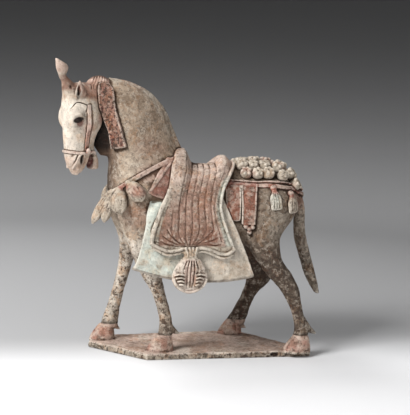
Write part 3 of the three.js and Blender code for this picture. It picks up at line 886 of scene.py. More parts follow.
def head_coat(points):
    """White face, red mouth and eye corners, dark eyes, brown forelock."""
    u, w, z = ahead_of_pivot(points)
    coat = Coat(points, mixed("slip", "buff", 0.2))
    stained = soft(Lumps(4)(points, 13), 0.0, 0.6)
    coat.brush(mixed("buff", "chalk_and_highlight", 0.2), 0.9 * stained * soft(u, 52, 40))
    coat.brush(mixed("tan", "chalk_and_highlight", 0.4), soft(u, 26, 10) * soft(z, 325, 345))
    coat.brush(mixed("rose", "buff", 0.4), 0.6 * patch(u, z, (28, 325), (12, 16), 1.2, 0.3))
    coat.brush(mixed("rose", "red", 0.4), 0.5 * patch(u, z, (8, 337), (8, 9), 1.2, 0.3))
    coat.brush(mixed("rose", "tan", 0.6), 0.9 * soft(z, 358, 370) * soft(u, 36, 28))
    coat.brush(mixed("rose", "slip", 0.45), 0.8 * soft(z, 376, 388) * soft(u, 24, 12))
    dabs = soft(Lumps(14)(points, 6), 0.0, 0.4)
    coat.brush(mixed("oxblood", "tan", 0.4), 0.6 * dabs * soft(z, 362, 372))
    coat.brush("buff", 0.5 * soft(z, 358, 368) * soft(u, 36, 42))
    coat.brush(mixed("buff", "rose", 0.5), 0.5 * soft(z, 292, 280))
    for side in SIDES:
        near = soft(side * w, 6, 12)
        eye = np.hypot((u - 45.5) / 6.5, (z - 336 + 0.2 * (u - 45)) / 3.6)
        coat.brush("oxblood", 0.8 * patch(u, z, (42, 331.5), (6, 5.5), 1.3, 0.6) * near)
        coat.brush("black_and_shade", soft(eye, 1.35, 0.9) * near)
        ear = soft(z, 364, 370) * soft(z, 392, 386) * soft(side * w, 11, 14) * soft(u, 48, 44)
        coat.brush(mixed("rose", "tan", 0.6), 0.9 * ear)
        inner = np.hypot((u - 46.5) / 3, (z - 374) / 11)
        coat.brush("black_and_shade", 0.85 * soft(inner, 1.3, 0.8) * soft(side * w, 14, 17))
        nostril = patch(u, z, (36, 281), (3, 7), 1.2, 0.8)
        coat.brush("black_and_shade", 0.9 * nostril * soft(side * w, 8, 12))
    mouth = soft(u, 12, 13.5) * soft(u, 29, 26) * soft(z, 291, 287) * soft(np.abs(w), 10.2, 9.2)
    coat.brush(hue("oxblood") * 0.7, mouth)
    stalk = soft(z, 372, 379) * soft(z, 399, 394) * soft(u, 36, 40)
    coat.brush(mixed("oxblood", "tan", 0.4), 0.8 * stalk)
    coat.brush(mixed("rose", "slip", 0.3), 0.6 * soft(z, 397, 402))
    return coat


# ---------------------------------------------------------------- saddle cloth
# half width, height, x of the front edge, x of the rear edge, from the hem to the seat
CLOTH = [
    [76, 158, -87, 36],
    [71, 182, -84, 27],
    [62, 215, -72, 17],
    [55, 243, -60, 20],
    [44, 264, -55, 32],
    [24, 274, -50, 42],
    [0, 277, -46, 46],
]
# height, x of the middle pleat, distance between pleats
PLEATS = [
    [282, -8, 8.5],
    [262, -17, 8.6],
    [243, -23, 8.8],
    [224, -26, 9],
    [202, -26, 9.6],
    [187, -26.5, 10],
    [174, -29, 7],
    [163, -31, 1.6],
]
KNOT = np.array([-29.0, 76.0, 157.0])
HEM_WAVE = [[12], [5], [0], [1], [4], [2], [5], [2], [-3], [-4], [4]]


def on_cloth(a, t, side, lift=0.0):
    """Points on the cloth: a from its front to its rear edge, t from the hem to the seat."""
    a, t = np.broadcast_arrays(np.asarray(a, float), np.asarray(t, float))
    half, height, front, rear = track(CLOTH, t.ravel()).T.reshape(4, *t.shape)
    step = (track(CLOTH, t.ravel() + 0.01) - track(CLOTH, t.ravel() - 0.01))[:, :2]
    step = step / np.linalg.norm(step, axis=1, keepdims=True)
    over, up = step[:, 1].reshape(t.shape) * soft(t, 1, 0.9), -step[:, 0].reshape(t.shape)
    roll = 17 * soft(t, 0.55, 1.0) + 5 * soft(t, 0.15, 0.5)
    pommel = roll * np.exp(-(((a - 0.135) / 0.15) ** 4))
    cantle = 13 * np.exp(-(((a - 0.84) / 0.11) ** 2)) * soft(t, 0.5, 0.95)
    lift = lift + pommel + cantle
    hem = track(HEM_WAVE, a.ravel())[:, 0].reshape(a.shape) * (1 - t) ** 6
    x = front + (rear - front) * a
    y = side * (half + over * lift)
    return np.stack([x, y, height + hem + up * lift], -1)


def cloth_path(a, t, side, lift=0.0):
    """Path over the cloth and the direction away from it."""
    low, high = on_cloth(a, t, side, lift), on_cloth(a, t, side, lift + 1)
    return low, high - low


def pleat_path(k):
    """Path of a pleat from the left knot over the seat to the right knot."""
    z, middle, gap = track(PLEATS, np.linspace(1, 0, 30)).T
    t = np.linspace(0, 1, 200)
    _, height, front, rear = track(CLOTH, t).T
    share = np.interp(z, height, t)
    a = np.interp(share, t, (np.interp(t, share, middle + k * gap) - front) / (rear - front))
    left, left_out = cloth_path(a, share, LEFT)
    right, right_out = cloth_path(a[::-1], share[::-1], RIGHT)
    return np.concatenate([left, right]), np.concatenate([left_out, right_out])


@lru_cache
def cloth_clay(step):
    """The pleated cloth over the saddle, its rolled edges, knots and hanging ends."""
    clay = Clay((-98, -92, 90), (58, 92, 306), step)
    for side in SIDES:
        def place(a, b, outer, side=side):
            a = a if side == LEFT else 1 - a
            points = on_cloth(a, b * 0.999 + 0.0005, side)
            if not outer:
                inset = 7 + 12 * soft(b, 0.1, 0.5)
                points[..., 1] = side * np.maximum(np.abs(points[..., 1]) - inset, 0)
                points[..., 2] -= 24 * soft(b, 0.3, 1)
            return points

        clay.lay(plate(90, 110, place), 0.5, 8)
    for side in SIDES:
        ends = np.linspace(0.02, 0.98, 40)
        path, out = cloth_path(ends, 0.012, side, 1)
        clay.lay(strip(path, out, 2.3, 2.6, ROUND, 120), 1.5)
        path, out = cloth_path(ends, 0.0, side, -1)
        clay.lay(strip(path - [0, 0, 3], out, 2.0, 2.0, ROUND, 120), 1)
        path, out = cloth_path(0.015, np.linspace(0, 0.5, 30), side, 1)
        clay.lay(strip(path, out, 3.0, np.linspace(2.6, 1, 30), ROUND), 1.5)
        path, out = cloth_path(0.985, np.linspace(0, 1.0, 40), side, 1)
        clay.lay(strip(path, out, 2.2, 2.2, ROUND), 1.5)
        for a, t in ((0.88, np.linspace(0.12, 0.8, 40)), (0.10, np.linspace(0.07, 0.36, 30)),
                     (np.linspace(0.07, 0.42, 20), 0.075), (np.linspace(0.5, 0.93, 20), 0.075)):
            path, out = cloth_path(a, t, side, 0.6)
            clay.cut(strip(path, out, 1, 1.2, ROUND), 1)
    path, out = pleat_path(-3)
    for part in (slice(0, 16), slice(len(path) // 2 + 14, None)):
        clay.cut(strip(path[part] + out[part] * 0.8, out[part], 0.9, 1.5, ROUND, 80), 1.4)
    for k in range(-2, 4):
        path, out = pleat_path(k)
        size = np.interp(np.linspace(-1, 1, len(path)), (-1, -0.8, 0.8, 1), (0.6, 1.1, 1.1, 0.6))
        clay.cut(strip(path + out * 0.8, out, size, 1.5, ROUND, 160), 1.4)
    for side in SIDES:
        for turn in (-1, 1):
            for share, height in ((0.35, 180), (0.37, 172), (0.31, 190)):
                a = np.linspace(0.47 + turn * 0.05, 0.49 + turn * share, 24)
                t = np.linspace(0.035, np.interp(height, (158, 182, 215), (0, 1 / 6, 2 / 6)), 24)
                path, out = cloth_path(a, t, side)
                clay.cut(strip(path + out * 0.3, out, np.linspace(1, 0.6, 24), 1.5, ROUND, 60), 1.2)
        lay_knot(clay, KNOT * [1, side, 1], side)
    return clay


def lay_knot(clay, knot, side):
    """The cloth's edge tied into a knot, its end spread below like a shell."""
    x, y, z = knot
    out = np.array([0, side, 0.0])
    clay.lay(ball(knot + [0, 0, 1], (11, 6, 7)), 2)
    for k in (-1.5, -0.5, 0.5, 1.5):
        path = [(x + k * 5.5, y + side * 3, z + 9), (x + k * 3.6, y + side * 5, z),
                (x + k * 4.6, y + side * 4, z - 8)]
        clay.lay(strip(path, [out] * 3, 1.6, 1.9, ROUND), 1)
    clay.lay(ribbed([
        [x - 9, z - 2, x + 8, z - 2, 5, y + side * 1],
        [x - 15, z - 9, x + 14, z - 9, 6, y + side * 3],
        [x - 21, z - 17, x + 19, z - 17, 7, y + side * 4],
        [x - 26, z - 28, x + 24, z - 28, 7, y + side * 4],
        [x - 26, z - 38, x + 24, z - 38, 7, y + side * 4],
        [x - 19, z - 49, x + 17, z - 49, 6, y + side * 3],
        [x - 7, z - 55, x + 5, z - 55, 4, y + side * 2],
    ], ends=(0.2, 0.3)), 1.5)
    face = y + side * 11
    for k in (-2.5, -1.2, 0, 1.2, 2.5):
        low = 47 if abs(k) < 2 else 28
        path = [(x + k * 2.6, face - side * 3, z - 9), (x + k * 4.2 - 1, face, z - 22),
                (x + k * 3.4 - 2, face - side * 0.5, z - low)]
        clay.cut(strip(path, [out] * 3, 0.7, 1.9, ROUND), 1.2)
    for turn in (-1, 1):
        for k in range(4):
            reach = 22 - 2.4 * k
            path = [(x - 2 + turn * 8, face, z - 29 - 4.8 * k),
                    (x - 2 + turn * (8 + reach) / 2, face + side * 0.5, z - 27.5 - 4.8 * k),
                    (x - 2 + turn * reach, face - side * 2, z - 29.5 - 4.3 * k)]
            clay.lay(strip(path, [out] * 3, 1.1, 2.4, ROUND), 1)
    turn = np.linspace(0.05, math.pi - 0.05, 20)
    rim = np.stack([x - 1 - 23 * np.cos(turn), 0 * turn + y + side * 7, z - 33 - 20 * np.sin(turn)], 1)
    clay.lay(strip(rim, [out] * 20, 2.0, 2.6, ROUND), 1)


def cloth_coat(points):
    """Faded red pleats, darker corners, pale border and pale tied ends."""
    x, _, z = points.T
    share = np.linspace(0, 0.93, 60)
    rows = track(CLOTH, np.interp(z, track(CLOTH, share)[:, 1], share))
    a = (x - rows[:, 2]) / (rows[:, 3] - rows[:, 2])
    coat = Coat(points, mixed(mixed("rose", "tan", 0.5), "chalk_and_highlight", 0.12))
    coat.brush(mixed("oxblood", "tan", 0.6), 0.6 * soft(z, 212, 176))
    coat.brush(mixed("red", "tan", 0.5), 0.5 * soft(a, 0.6, 0.75) * soft(z, 200, 180))
    coat.brush(mixed("chalk_and_highlight", "rose", 0.3), 0.8 * soft(a, 0.30, 0.24) * soft(z, 205, 235))
    coat.brush(mixed("slip", "rose", 0.4), 0.8 * soft(z, 245, 270))
    coat.brush(mixed("chalk_and_highlight", "rose", 0.5), 0.6 * soft(a, 0.82, 0.86))
    coat.brush(mixed("pale_green", "buff", 0.35), soft(a, 0.89, 0.93) * soft(z, 275, 250))
    coat.brush("chalk_and_highlight", soft(a, 0.105, 0.08) * soft(z, 250, 225))
    coat.brush(mixed("chalk_and_highlight", "buff", 0.2), soft(z, 169, 165))
    shell = soft(z, 152, 148)
    coat.brush(mixed("slip", "rose", 0.22), 0.95 * shell)
    coat.brush(mixed("rose", "slip", 0.4), shell * soft(np.abs(x + 31), 9, 7) * soft(z, 112, 120))
    coat.brush("rose", 0.45 * shell * soft(z, 108, 104))
    return coat


# ---------------------------------------------------------------- mudguards
def guard_hem(a):
    """Height of the guard's bowed hem, a from its front to its rear corner."""
    return 134 - 11 * a - 13 * np.sin(math.pi * a) ** 0.8


@lru_cache
def mudguard_clay(step, side):
    """The stiff guard under the cloth, a trapezium that flares as it hangs."""
    low, high = sorted((side * 40.0, side * 92.0))
    clay = Clay((-120, low, 112), (76, high, 256), step)

    def place(a, b, outer):
        a = a if side == LEFT else 1 - a
        front = (-111 if side == LEFT else -106) + 27 * b**0.6
        rear = 66 - 51 * b**1.1
        x = front + (rear - front) * a
        z = guard_hem(a) + (230 + 14 * a - guard_hem(a)) * b
        bow = 2.5 * np.sin(math.pi * a) * (1 - b)
        y = 72 - 22 * b**1.4 + bow + (0 if outer else -4.5)
        return np.stack([x, side * y, z], -1)

    clay.lay(plate(80, 50, place), 0.5)
    clay.lay(ball((-68, side * 57, 206), (18, 5, 18)), 10)
    return clay


def mudguard_coat(points):
    """Pale guard, greener towards the chest, with a dark hem of painted shade."""
    x, _, z = points.T
    coat = Coat(points, mixed("slip", "chalk_and_highlight", 0.5))
    coat.brush(mixed("chalk_white", "pale_green", 0.8), soft(x, 0, -60))
    soiled = soft(Lumps(23)(points, 12), -0.4, 0.4)
    coat.brush(mixed("buff", "chalk_and_highlight", 0.4), 0.8 * soft(z, 160, 125) * soiled)
    coat.brush(mixed("slip", "buff", 0.3), 0.8 * soft(Lumps(6)(points, 22), 0, 0.5) * soft(x, -60, 0))
    hem = guard_hem(np.clip((x + 111) / 177, 0, 1))
    # painted shade: a dark band along the hem, as shade at the guard's thick lower edge
    return coat.brush("dark_earth_and_shade", 0.9 * soft(z - hem, 4.0, 2.8))


# ---------------------------------------------------------------- harness
def on_horse(points, lift):
    """The points drawn onto the bare horse and lifted off it, with the way outwards."""
    clay = horse_clay(grit())
    points = clay.settled(np.asarray(points, float), lift)
    return points, clay.out(points)


def spread(values, count):
    """So many values, evenly between the given ones."""
    return np.interp(np.linspace(0, 1, count), np.linspace(0, 1, len(values)), values)


def laid_strap(clay, points, wide, thick, lift=1.0, square=0.5):
    """Lays a strap over the bare horse along the points; wide may change along it."""
    count = 24
    path, out = on_horse(track(points, np.linspace(0, 1, count)), lift)
    if not np.isscalar(wide):
        wide = spread(wide, count)
    clay.lay(strip(path, out, wide, thick, square, 100), 0.8)
    return path, out


def ribbon_rows(side):
    """Where the ribbon of one side runs, from the topknot's foot down the neck."""
    return [
        [-151, -8 + 11 * side, 384],
        [-149, -7 + 19 * side, 376],
        [-146, -5 + 27 * side, 356.5],
        [-141, -3 + 36 * side, 326.5],
        [-134.5, -2 + 40 * side, 298],
    ]


@lru_cache
def ribbons_clay(step):
    """The ribbons that tie the mane behind the ears, one down each side of the neck."""
    clay = Clay((-184, -60, 286), (-100, 60, 406), step)
    for side in SIDES:
        wide = [8, 11, 11.5, 11, 12]
        path, out = laid_strap(clay, ribbon_rows(side), wide, 3.0, 2.0, square=0.4)
        ahead = np.gradient(path, axis=0)
        ahead /= np.linalg.norm(ahead, axis=1, keepdims=True)
        across = np.cross(ahead, out)
        half = spread(wide, len(path))[:, None]
        for turn in (-1, 1):
            edge = (path + across * (turn * (half - 1.6)) + out * 2.2)[3:]
            clay.lay(strip(edge, out[3:], 1.1, 0.5, ROUND, 100), 1.6)
    return clay


def ribbons_coat(points):
    """Faded red with dark flecks below, and a paler end."""
    z = points[:, 2]
    coat = Coat(points, mixed("rose", "tan", 0.5))
    coat.brush("oxblood", 0.5 * soft(Lumps(8)(points, 9), 0.0, 0.4))
    flecks = soft(Lumps(9)(points, 3.4), 0.28, 0.42)
    coat.brush(hue("oxblood") * 0.5, 0.85 * flecks * soft(z, 372, 350))
    return coat.brush(mixed("chalk_and_highlight", "rose", 0.4), 0.6 * soft(z, 301, 297))


@lru_cache
def bridle_clay(step):
    """Noseband, and cheek straps with their rings."""
    clay = Clay((-224, -52, 288), (-130, 40, 392), step)
    skull = head_clay(step)

    def around(points, wide, thick, lift):
        path, _ = on_head((track(points, np.linspace(0, 1, 40)), None))
        path = skull.settled(path, lift)
        clay.lay(strip(path, skull.out(path), wide, thick, 0.5, 100), 0.6)

    around([(-8, -17, 291), (-26, -20, 291), (-52, -13, 291), (-60, 0, 291), (-52, 13, 291),
            (-26, 20, 291), (-8, 17, 291)], 2.0, 1.5, 0.5)
    for side in SIDES:
        around([(-26.5, side * 18, 293), (-27.5, side * 20, 316), (-28.5, side * 22, 336),
                (-29, side * 20, 357)], 3.1, 0.6, 0.2)
        clay.lay(on_head(ball((-26, side * 16.5, 293), (3.4, 2.5, 4))), 1)
    return clay


def bridle_coat(points):
    """Red noseband and rings, and cheek straps that pale upwards."""
    u, _, z = ahead_of_pivot(points)
    coat = Coat(points, mixed("red", "chalk_and_highlight", 0.3))
    strap = soft(np.abs(u - 26.5 - 0.04 * (z - 293)), 3.2, 2.2)
    coat.brush(mixed("rose", "slip", 0.25), strap * soft(z, 297, 300))
    return coat.brush(mixed("slip", "rose", 0.35), 0.8 * soft(z, 326, 336))


def tassel(clay, top, tip, half, deep, out, shape=(0.5, 0.85, 1.0, 0.9, 0.3), depth=0.55):
    """A hanging tassel: a knob, then hair that swells to its shape and shows its strands."""
    top, tip, out = np.asarray(top, float), np.asarray(tip, float), np.asarray(out, float)
    run = tip - top
    bulge = np.array([0, 0.4, 1.0, 1.0, 0.2])[:, None] * out * deep * 0.4
    path = top + run * np.array([0, 0.2, 0.5, 0.8, 1])[:, None] + bulge
    wide = np.array(shape) * half  # half sizes at the five points of the path
    thick = np.array([0.6, 0.9, 1.0, 0.8, 0.3]) * deep
    clay.lay(strip(path, [out] * 5, wide, thick, 0.85, 60, (0.4, 0.2)), 1)
    across = np.cross(run / np.linalg.norm(run), out)
    for k in (-0.45, 0.0, 0.45):
        spread = across * (k * wide)[:, None]
        line = path + spread + out * (thick * (1.05 - 0.25 * abs(k)))[:, None]
        clay.cut(strip(line[1:], [out] * 4, 0.5, depth, ROUND, 40), 0.8)
    clay.lay(ball(top, (half * 0.55, half * 0.55, half * 0.5)), 1)


@lru_cache
def breast_clay(step):
    """Breast straps on both sides, the panel between them and the tassels over the chest."""
    clay = Clay((-172, -66, 180), (-28, 66, 312), step)
    for side in SIDES:
        laid_strap(clay, [(-40, side * 34, 292), (-76, side * 42, 274), (-110, side * 40, 253),
                          (-128, side * 26, 238), (-137, 0, 232)], [3.4, 3.4, 3.2, 2.6, 2.6], 2.2, 0.8)
        laid_strap(clay, [(-44, side * 36, 290), (-62, side * 46, 270), (-84, side * 47, 240)],
                   1.8, 2.2, 0.8)
        laid_strap(clay, [(-50, side * 38, 290), (-63, side * 48, 262), (-73, side * 52, 234)],
                   [5, 11, 15], 1.6, 0.2, square=0.3)
    for side in SIDES:
        away = -2 if side == LEFT else 10
        leaf = (0.5, 0.9, 1.0, 0.75, 0.15)
        tassel(clay, (-132 + away, side * 22, 236), (-158 + away, side * 21, 190), 8, 6,
               (-0.6, 0.8 * side, 0), leaf)
        tassel(clay, (-131 + away, side * 24, 228), (-143 + away, side * 30, 193), 8, 7,
               (-0.5, 0.8 * side, 0), leaf)
        tassel(clay, (-125, side * 36, 239), (-127, side * 48, 208), 11, 9.5, (-0.3, side, 0))
        tassel(clay, (-114, side * 44, 250), (-96, side * 54, 228), 11, 10, (-0.1, side, 0.1))
    return clay


def breast_coat(points):
    """Pale straps and tassels, red knobs, and a deep red panel below the pommel."""
    x, _, z = points.T
    coat = Coat(points, mixed("chalk_and_highlight", "buff", 0.4))
    coat.brush(mixed("red", "slip", 0.45), soft(x, -122, -108) * soft(z, 256, 261))
    knobs = soft(z, 231, 237) * soft(z, 252, 246) * soft(x, -122, -110)
    coat.brush(mixed("red", "buff", 0.4), 0.8 * knobs)
    panel = soft(x, -86, -78) * soft(z, 283, 272) * soft(z - 0.9 * x, 330, 318)
    coat.brush(mixed("oxblood", "rose", 0.45), 0.85 * panel)
    return coat.brush("red", 0.7 * soft(np.hypot(x + 123, z - 246), 8, 4))


@lru_cache
def crupper_clay(step):
    """Crupper strap on both sides with its hanging panels, pendants and tassels."""
    clay = Clay((12, -72, 168), (156, 72, 276), step)
    for side in SIDES:
        laid_strap(clay, [(24, side * 46, 260), (64, side * 48, 254), (100, side * 42, 246),
                          (128, side * 27, 237), (142, side * 10, 234), (153, 0, 233)], 3.0, 1.8, 0.8)
        laid_strap(clay, [(24, side * 46, 266), (64, side * 46, 260), (100, side * 40, 252),
                          (127, side * 25, 242), (140, side * 10, 240), (150, 0, 239)],
                   1.2, 2.2, 1.2, ROUND)
        for x, low, wide in ((36, 201, 11.5), (59, 196, 11)):
            rows = [(x, side * 51, 256), (x, side * 54, (low + 256) / 2), (x, side * 54, low)]
            laid_strap(clay, rows, [wide, wide, wide * 0.9], 1.8, 1.0, square=0.3)
            for turn in (-1, 1):
                edge = [(x + turn * (wide - 1), side * 51, 256),
                        (x + turn * (wide * 0.9 - 1), side * 54, low)]
                laid_strap(clay, edge, 1.2, 1.2, 2.2, ROUND)
            if x > 40:
                for k, drop in ((-5, 4), (5, 4), (0, 7), (0, 12)):
                    spot, _ = on_horse([(x + 1 + k, side * 55, low - drop)], 2)
                    clay.lay(ball(spot[0], (3.4, 3, 3.2)), 1.2)
        for x, z, length in ((94, 244, 27), (117, 236, 22)):
            spot, away = on_horse([(x, side * 44, z), (x + 3, side * 46, z - length)], 2)
            tassel(clay, spot[0], spot[1] + away[0] * 1.5, 8.5, 4.5, away[0],
                   (0.4, 0.45, 0.95, 1.0, 1.0), 1.0)
    return clay


def crupper_coat(points):
    """Red panels with pale borders, a greenish tassel and a pale one."""
    x, _, z = points.T
    coat = Coat(points, mixed("red", "rose", 0.5))
    inner = soft(np.abs(x - 36), 10.5, 9) + soft(np.abs(x - 59), 9.5, 8)
    coat.brush(mixed("red", "tan", 0.5), soft(z, 251, 248) * inner)
    coat.brush(mixed("slip", "rose", 0.2), 0.9 * soft(z, 251, 248) * soft(np.abs(x - 47.5), 2.8, 1.8))
    coat.brush(mixed("pale_green", "chalk_and_highlight", 0.5), soft(x, 80, 90) * soft(z, 243, 238) * soft(x, 112, 104))
    coat.brush(mixed("chalk_and_highlight", "tan", 0.4), soft(x, 104, 112) * soft(z, 238, 232))
    return coat.brush(mixed("red", "tan", 0.5), 0.8 * soft(z, 198, 194))


@lru_cache
def blossoms_clay(step):
    """Blossoms of clay in rows over the croup, each with its pressed centre and petals."""
    clay = Clay((32, -58, 232), (142, 58, 294), step)
    surface = horse_clay(grit())
    rows = [((60, 0, 277), (114, 0, 265), 4), ((56, 17, 275), (121, 14, 256), 5),
            ((58, 33, 268), (125, 25, 246), 5)]
    seed = np.random.default_rng(3)
    for first, last, count in rows:
        for side in ((RIGHT,) if first[1] == 0 else SIDES):
            for k in np.linspace(0, 1, count):
                spot = (np.array(first) * (1 - k) + np.array(last) * k) * [1, side, 1]
                spot = spot + seed.uniform(-1.5, 1.5, 3)
                spot = surface.settled(spot[None], 4)[0]
                away = surface.out(spot[None])[0]
                size = seed.uniform(8.2, 9.4)
                clay.lay(ball(spot, (size, size, size * 0.9)), 1)
                turn = Vector(away).to_track_quat("Z", "Y").to_matrix()
                for p in range(6):
                    angle = p * math.pi / 3 + seed.uniform(0, 0.4)
                    petal = Vector((math.cos(angle) * 0.62, math.sin(angle) * 0.62, 0.52))
                    clay.lay(ball(spot + np.array(turn @ petal) * size, (size * 0.38,) * 3), 0.3)
                clay.cut(ball(spot + away * size * 1.05, (size * 0.32,) * 3), 0.6)
    return clay


def blossoms_coat(points):
    """Pale clay with rosy patches."""
    coat = Coat(points, mixed("chalk_and_highlight", "buff", 0.35))
    return coat.brush("rose", 0.6 * soft(Lumps(5)(points, 16), 0.15, 0.5))


def grit():
    return bpy.context.scene.pottery_sizes.grit / MM * 1


def fine():
    """Grid spacing of the trappings and the head in millimetres."""
    return bpy.context.scene.pottery_sizes.fine_grit / MM * 1


def coarse():
    """Grid spacing of the plain mudguards in millimetres."""
    return 1.3 * grit()


def all_clay():
    """Every piece's clay, each made once."""
    step = fine()
    return [
        horse_clay(grit()), head_clay(step), cloth_clay(step), mudguard_clay(coarse(), LEFT),
        mudguard_clay(coarse(), RIGHT), ribbons_clay(step), bridle_clay(step), breast_clay(step),
        crupper_clay(step), blossoms_clay(step),
    ]


SHADOW_STEP = np.array([-3.0, -1.0, 4.5])  # painted shadow: a point is darkened where this step towards the key light meets another piece
MOST_TRIANGLES = 190000


def made(name, clay, paint, most=MOST_TRIANGLES, unevenness=0.35, wear=0.8, stain=0.3):
    """Turns clay into a finished piece: uneven, soiled in its hollows, darkened with painted shade and
    shadow by other pieces, and painted.
    """
    skin = clay.skin(most)
    lumps = Lumps(11)
    # Darkening kept as one mark: dirt in the hollows, painted shade where another piece lies close, and
    # painted shadow where a step towards the key light meets another piece.
    soil_and_shadow = clay.hollow(skin.points, 2.4)
    for other in all_clay():
        if other is not clay:
            soil_and_shadow = soil_and_shadow + 0.9 * soft(other.gap(skin.points), 2.6, 0.3)
            soil_and_shadow = soil_and_shadow + 0.7 * soft(other.gap(skin.points + SHADOW_STEP), 1.5, -1.0)
    rough = lumps(skin.points, 17) + 0.6 * lumps(skin.points + 40, 6) + 0.4 * lumps(skin.points, 3.1)
    skin.push(unevenness * rough * soft(skin.points[:, 2], 0.3, 4))
    skin.mark("soil_and_shadow", soil_and_shadow)
    for mark, share in (("wear", wear), ("stain", stain)):
        skin.mark(mark, share(skin.points) if callable(share) else share)
    return finished(skin, paint(skin.points), name)


class SizesOfHorse(bpy.types.PropertyGroup):
    """Sizes of the clay and its surface."""

    grit: FloatProperty(
        name="Grit", description="Spacing of the clay's grid", default=1.0 * MM, unit="LENGTH"
    )
    fine_grit: FloatProperty(
        name="Fine grit", description="Spacing of the grid of head and trappings",
        default=0.8 * MM, unit="LENGTH",
    )
    pitting: FloatProperty(
        name="Pitting", description="Strength of the pitted surface", default=1.0, subtype="FACTOR"
    )


def pigment(name, description, *shades):
    """Colour property, its default in the 0 to 255 shades that a screen shows."""
    return FloatVectorProperty(
        name=name, description=description, default=srgb(*shades).tolist(), subtype="COLOR",
        min=0, max=1,
    )


class PigmentsOfHorse(bpy.types.PropertyGroup):
    """Colours of slip, pigment and soil."""

    slip: pigment("Slip", "White slip on face and straps", 222, 212, 198)
    # Chalk also paints a highlight on the haunch.
    chalk_and_highlight: pigment("Chalk", "Worn slip over bare clay", 196, 186, 170)
    chalk_white: pigment("Chalk white", "Clean white of the mudguards", 222, 222, 212)
    pale_green: pigment("Pale green", "Faded green of guards, border and tassels", 190, 198, 188)
    buff: pigment("Buff", "Bare clay of the body", 160, 140, 120)
    tan: pigment("Tan", "Darker bare clay", 138, 112, 92)
    grey_earth: pigment("Grey earth", "Grey soil on the hindquarters", 116, 106, 96)
    # Dark earth also paints shade by the guard, under the belly, on the far hind leg and along the
    # mudguard hems.
    dark_earth_and_shade: pigment("Dark earth", "Dark soil and specks", 70, 56, 47)
    # Blackened also paints shade on the throat and round the hoof tops.
    black_and_shade: pigment("Blackened", "Black of throat, eyes and hoof rims", 44, 36, 32)
    rose: pigment("Rose", "Faded red over slip", 180, 136, 122)
    red: pigment("Red", "Red of straps and panels", 160, 92, 78)
    oxblood: pigment("Oxblood", "Deep red of mouth and pleats", 112, 64, 56)
    hoof_red: pigment("Hoof red", "Brownish red of the hooves", 160, 104, 84)


class LightOfStage(bpy.types.PropertyGroup):
    """Light and camera."""

    key_power: FloatProperty(
        name="Key", description="Power of the main light", default=62.0, unit="POWER"
    )
    fill_power: FloatProperty(
        name="Fill", description="Power of the weak light", default=6.0, unit="POWER"
    )
    top_power: FloatProperty(
        name="Top", description="Power of the light overhead", default=14.0, unit="POWER"
    )
    camera_turn: FloatProperty(
        name="Camera turn", description="How far the camera stands towards the head",
        default=math.radians(14), subtype="ANGLE",
    )
    camera_climb: FloatProperty(
        name="Camera climb", description="Height of the camera seen from the slab",
        default=math.radians(14), subtype="ANGLE",
    )
    camera_pitch: FloatProperty(
        name="Camera pitch", description="How far the camera looks down",
        default=math.radians(6.87), subtype="ANGLE",
    )
    camera_roll: FloatProperty(
        name="Camera roll", description="How far the camera leans",
        default=math.radians(2.5), subtype="ANGLE",
    )
    camera_distance: FloatProperty(
        name="Camera distance", description="Distance from the slab", default=1.7, unit="LENGTH"
    )
    camera_lens: FloatProperty(
        name="Lens", description="Focal length over a 36 mm sensor", default=99.0
    )


class POTTERY_OT_horse(bpy.types.Operator):
    """Sculpt the horse's body and its slab"""

    bl_idname = "pottery.horse"
    bl_label = "Body and slab"

    def execute(self, context):
        clay = horse_clay(grit())
        piece = made("horse_body", clay, horse_coat, unevenness=0.5, wear=horse_wear, stain=horse_stain)
        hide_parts(NODE)
        return {"FINISHED"}


class POTTERY_OT_head(bpy.types.Operator):
    """Sculpt the horse's head"""

    bl_idname = "pottery.head"
    bl_label = "Head"

    def execute(self, context):
        made("head", head_clay(fine()), head_coat, unevenness=0.2, wear=head_wear, stain=0.22)
        return {"FINISHED"}


class POTTERY_OT_saddle(bpy.types.Operator):
    """Sculpt the cloth over the saddle and the mudguards"""

    bl_idname = "pottery.saddle"
    bl_label = "Saddle cloth and mudguards"

    def execute(self, context):
        made("saddle_cloth", cloth_clay(fine()), cloth_coat, unevenness=0.25, stain=0.5)
        for side, name in ((LEFT, "left"), (RIGHT, "right")):
            clay = mudguard_clay(coarse(), side)
            made(f"mudguard_{name}", clay, mudguard_coat, wear=0.5, stain=0.25)
        return {"FINISHED"}


class POTTERY_OT_harness(bpy.types.Operator):
    """Sculpt the ribbons, the bridle, the breast straps and the crupper"""

    bl_idname = "pottery.harness"
    bl_label = "Harness"

    def execute(self, context):
        made("mane_ribbons", ribbons_clay(fine()), ribbons_coat, wear=0.5, stain=1.0)
        made("bridle", bridle_clay(fine()), bridle_coat, unevenness=0.1)
        made("breast_straps", breast_clay(fine()), breast_coat, wear=0.5, stain=0.5)
        made("crupper", crupper_clay(fine()), crupper_coat, wear=0.8, stain=0.6)
        made("blossoms", blossoms_clay(fine()), blossoms_coat, stain=0.4)
        return {"FINISHED"}


def area_light(name, spot, target, size, power):
    """Adds a soft square light at a spot, aimed at the target."""
    lamp = bpy.data.lights.new(name, "AREA")
    lamp.size, lamp.energy = size, power
    light = bpy.data.objects.new(name, lamp)
    bpy.context.collection.objects.link(light)
    light.location = spot
    light.rotation_euler = (Vector(target) - Vector(spot)).to_track_quat("-Z", "Y").to_euler()
    light.visible_camera = False


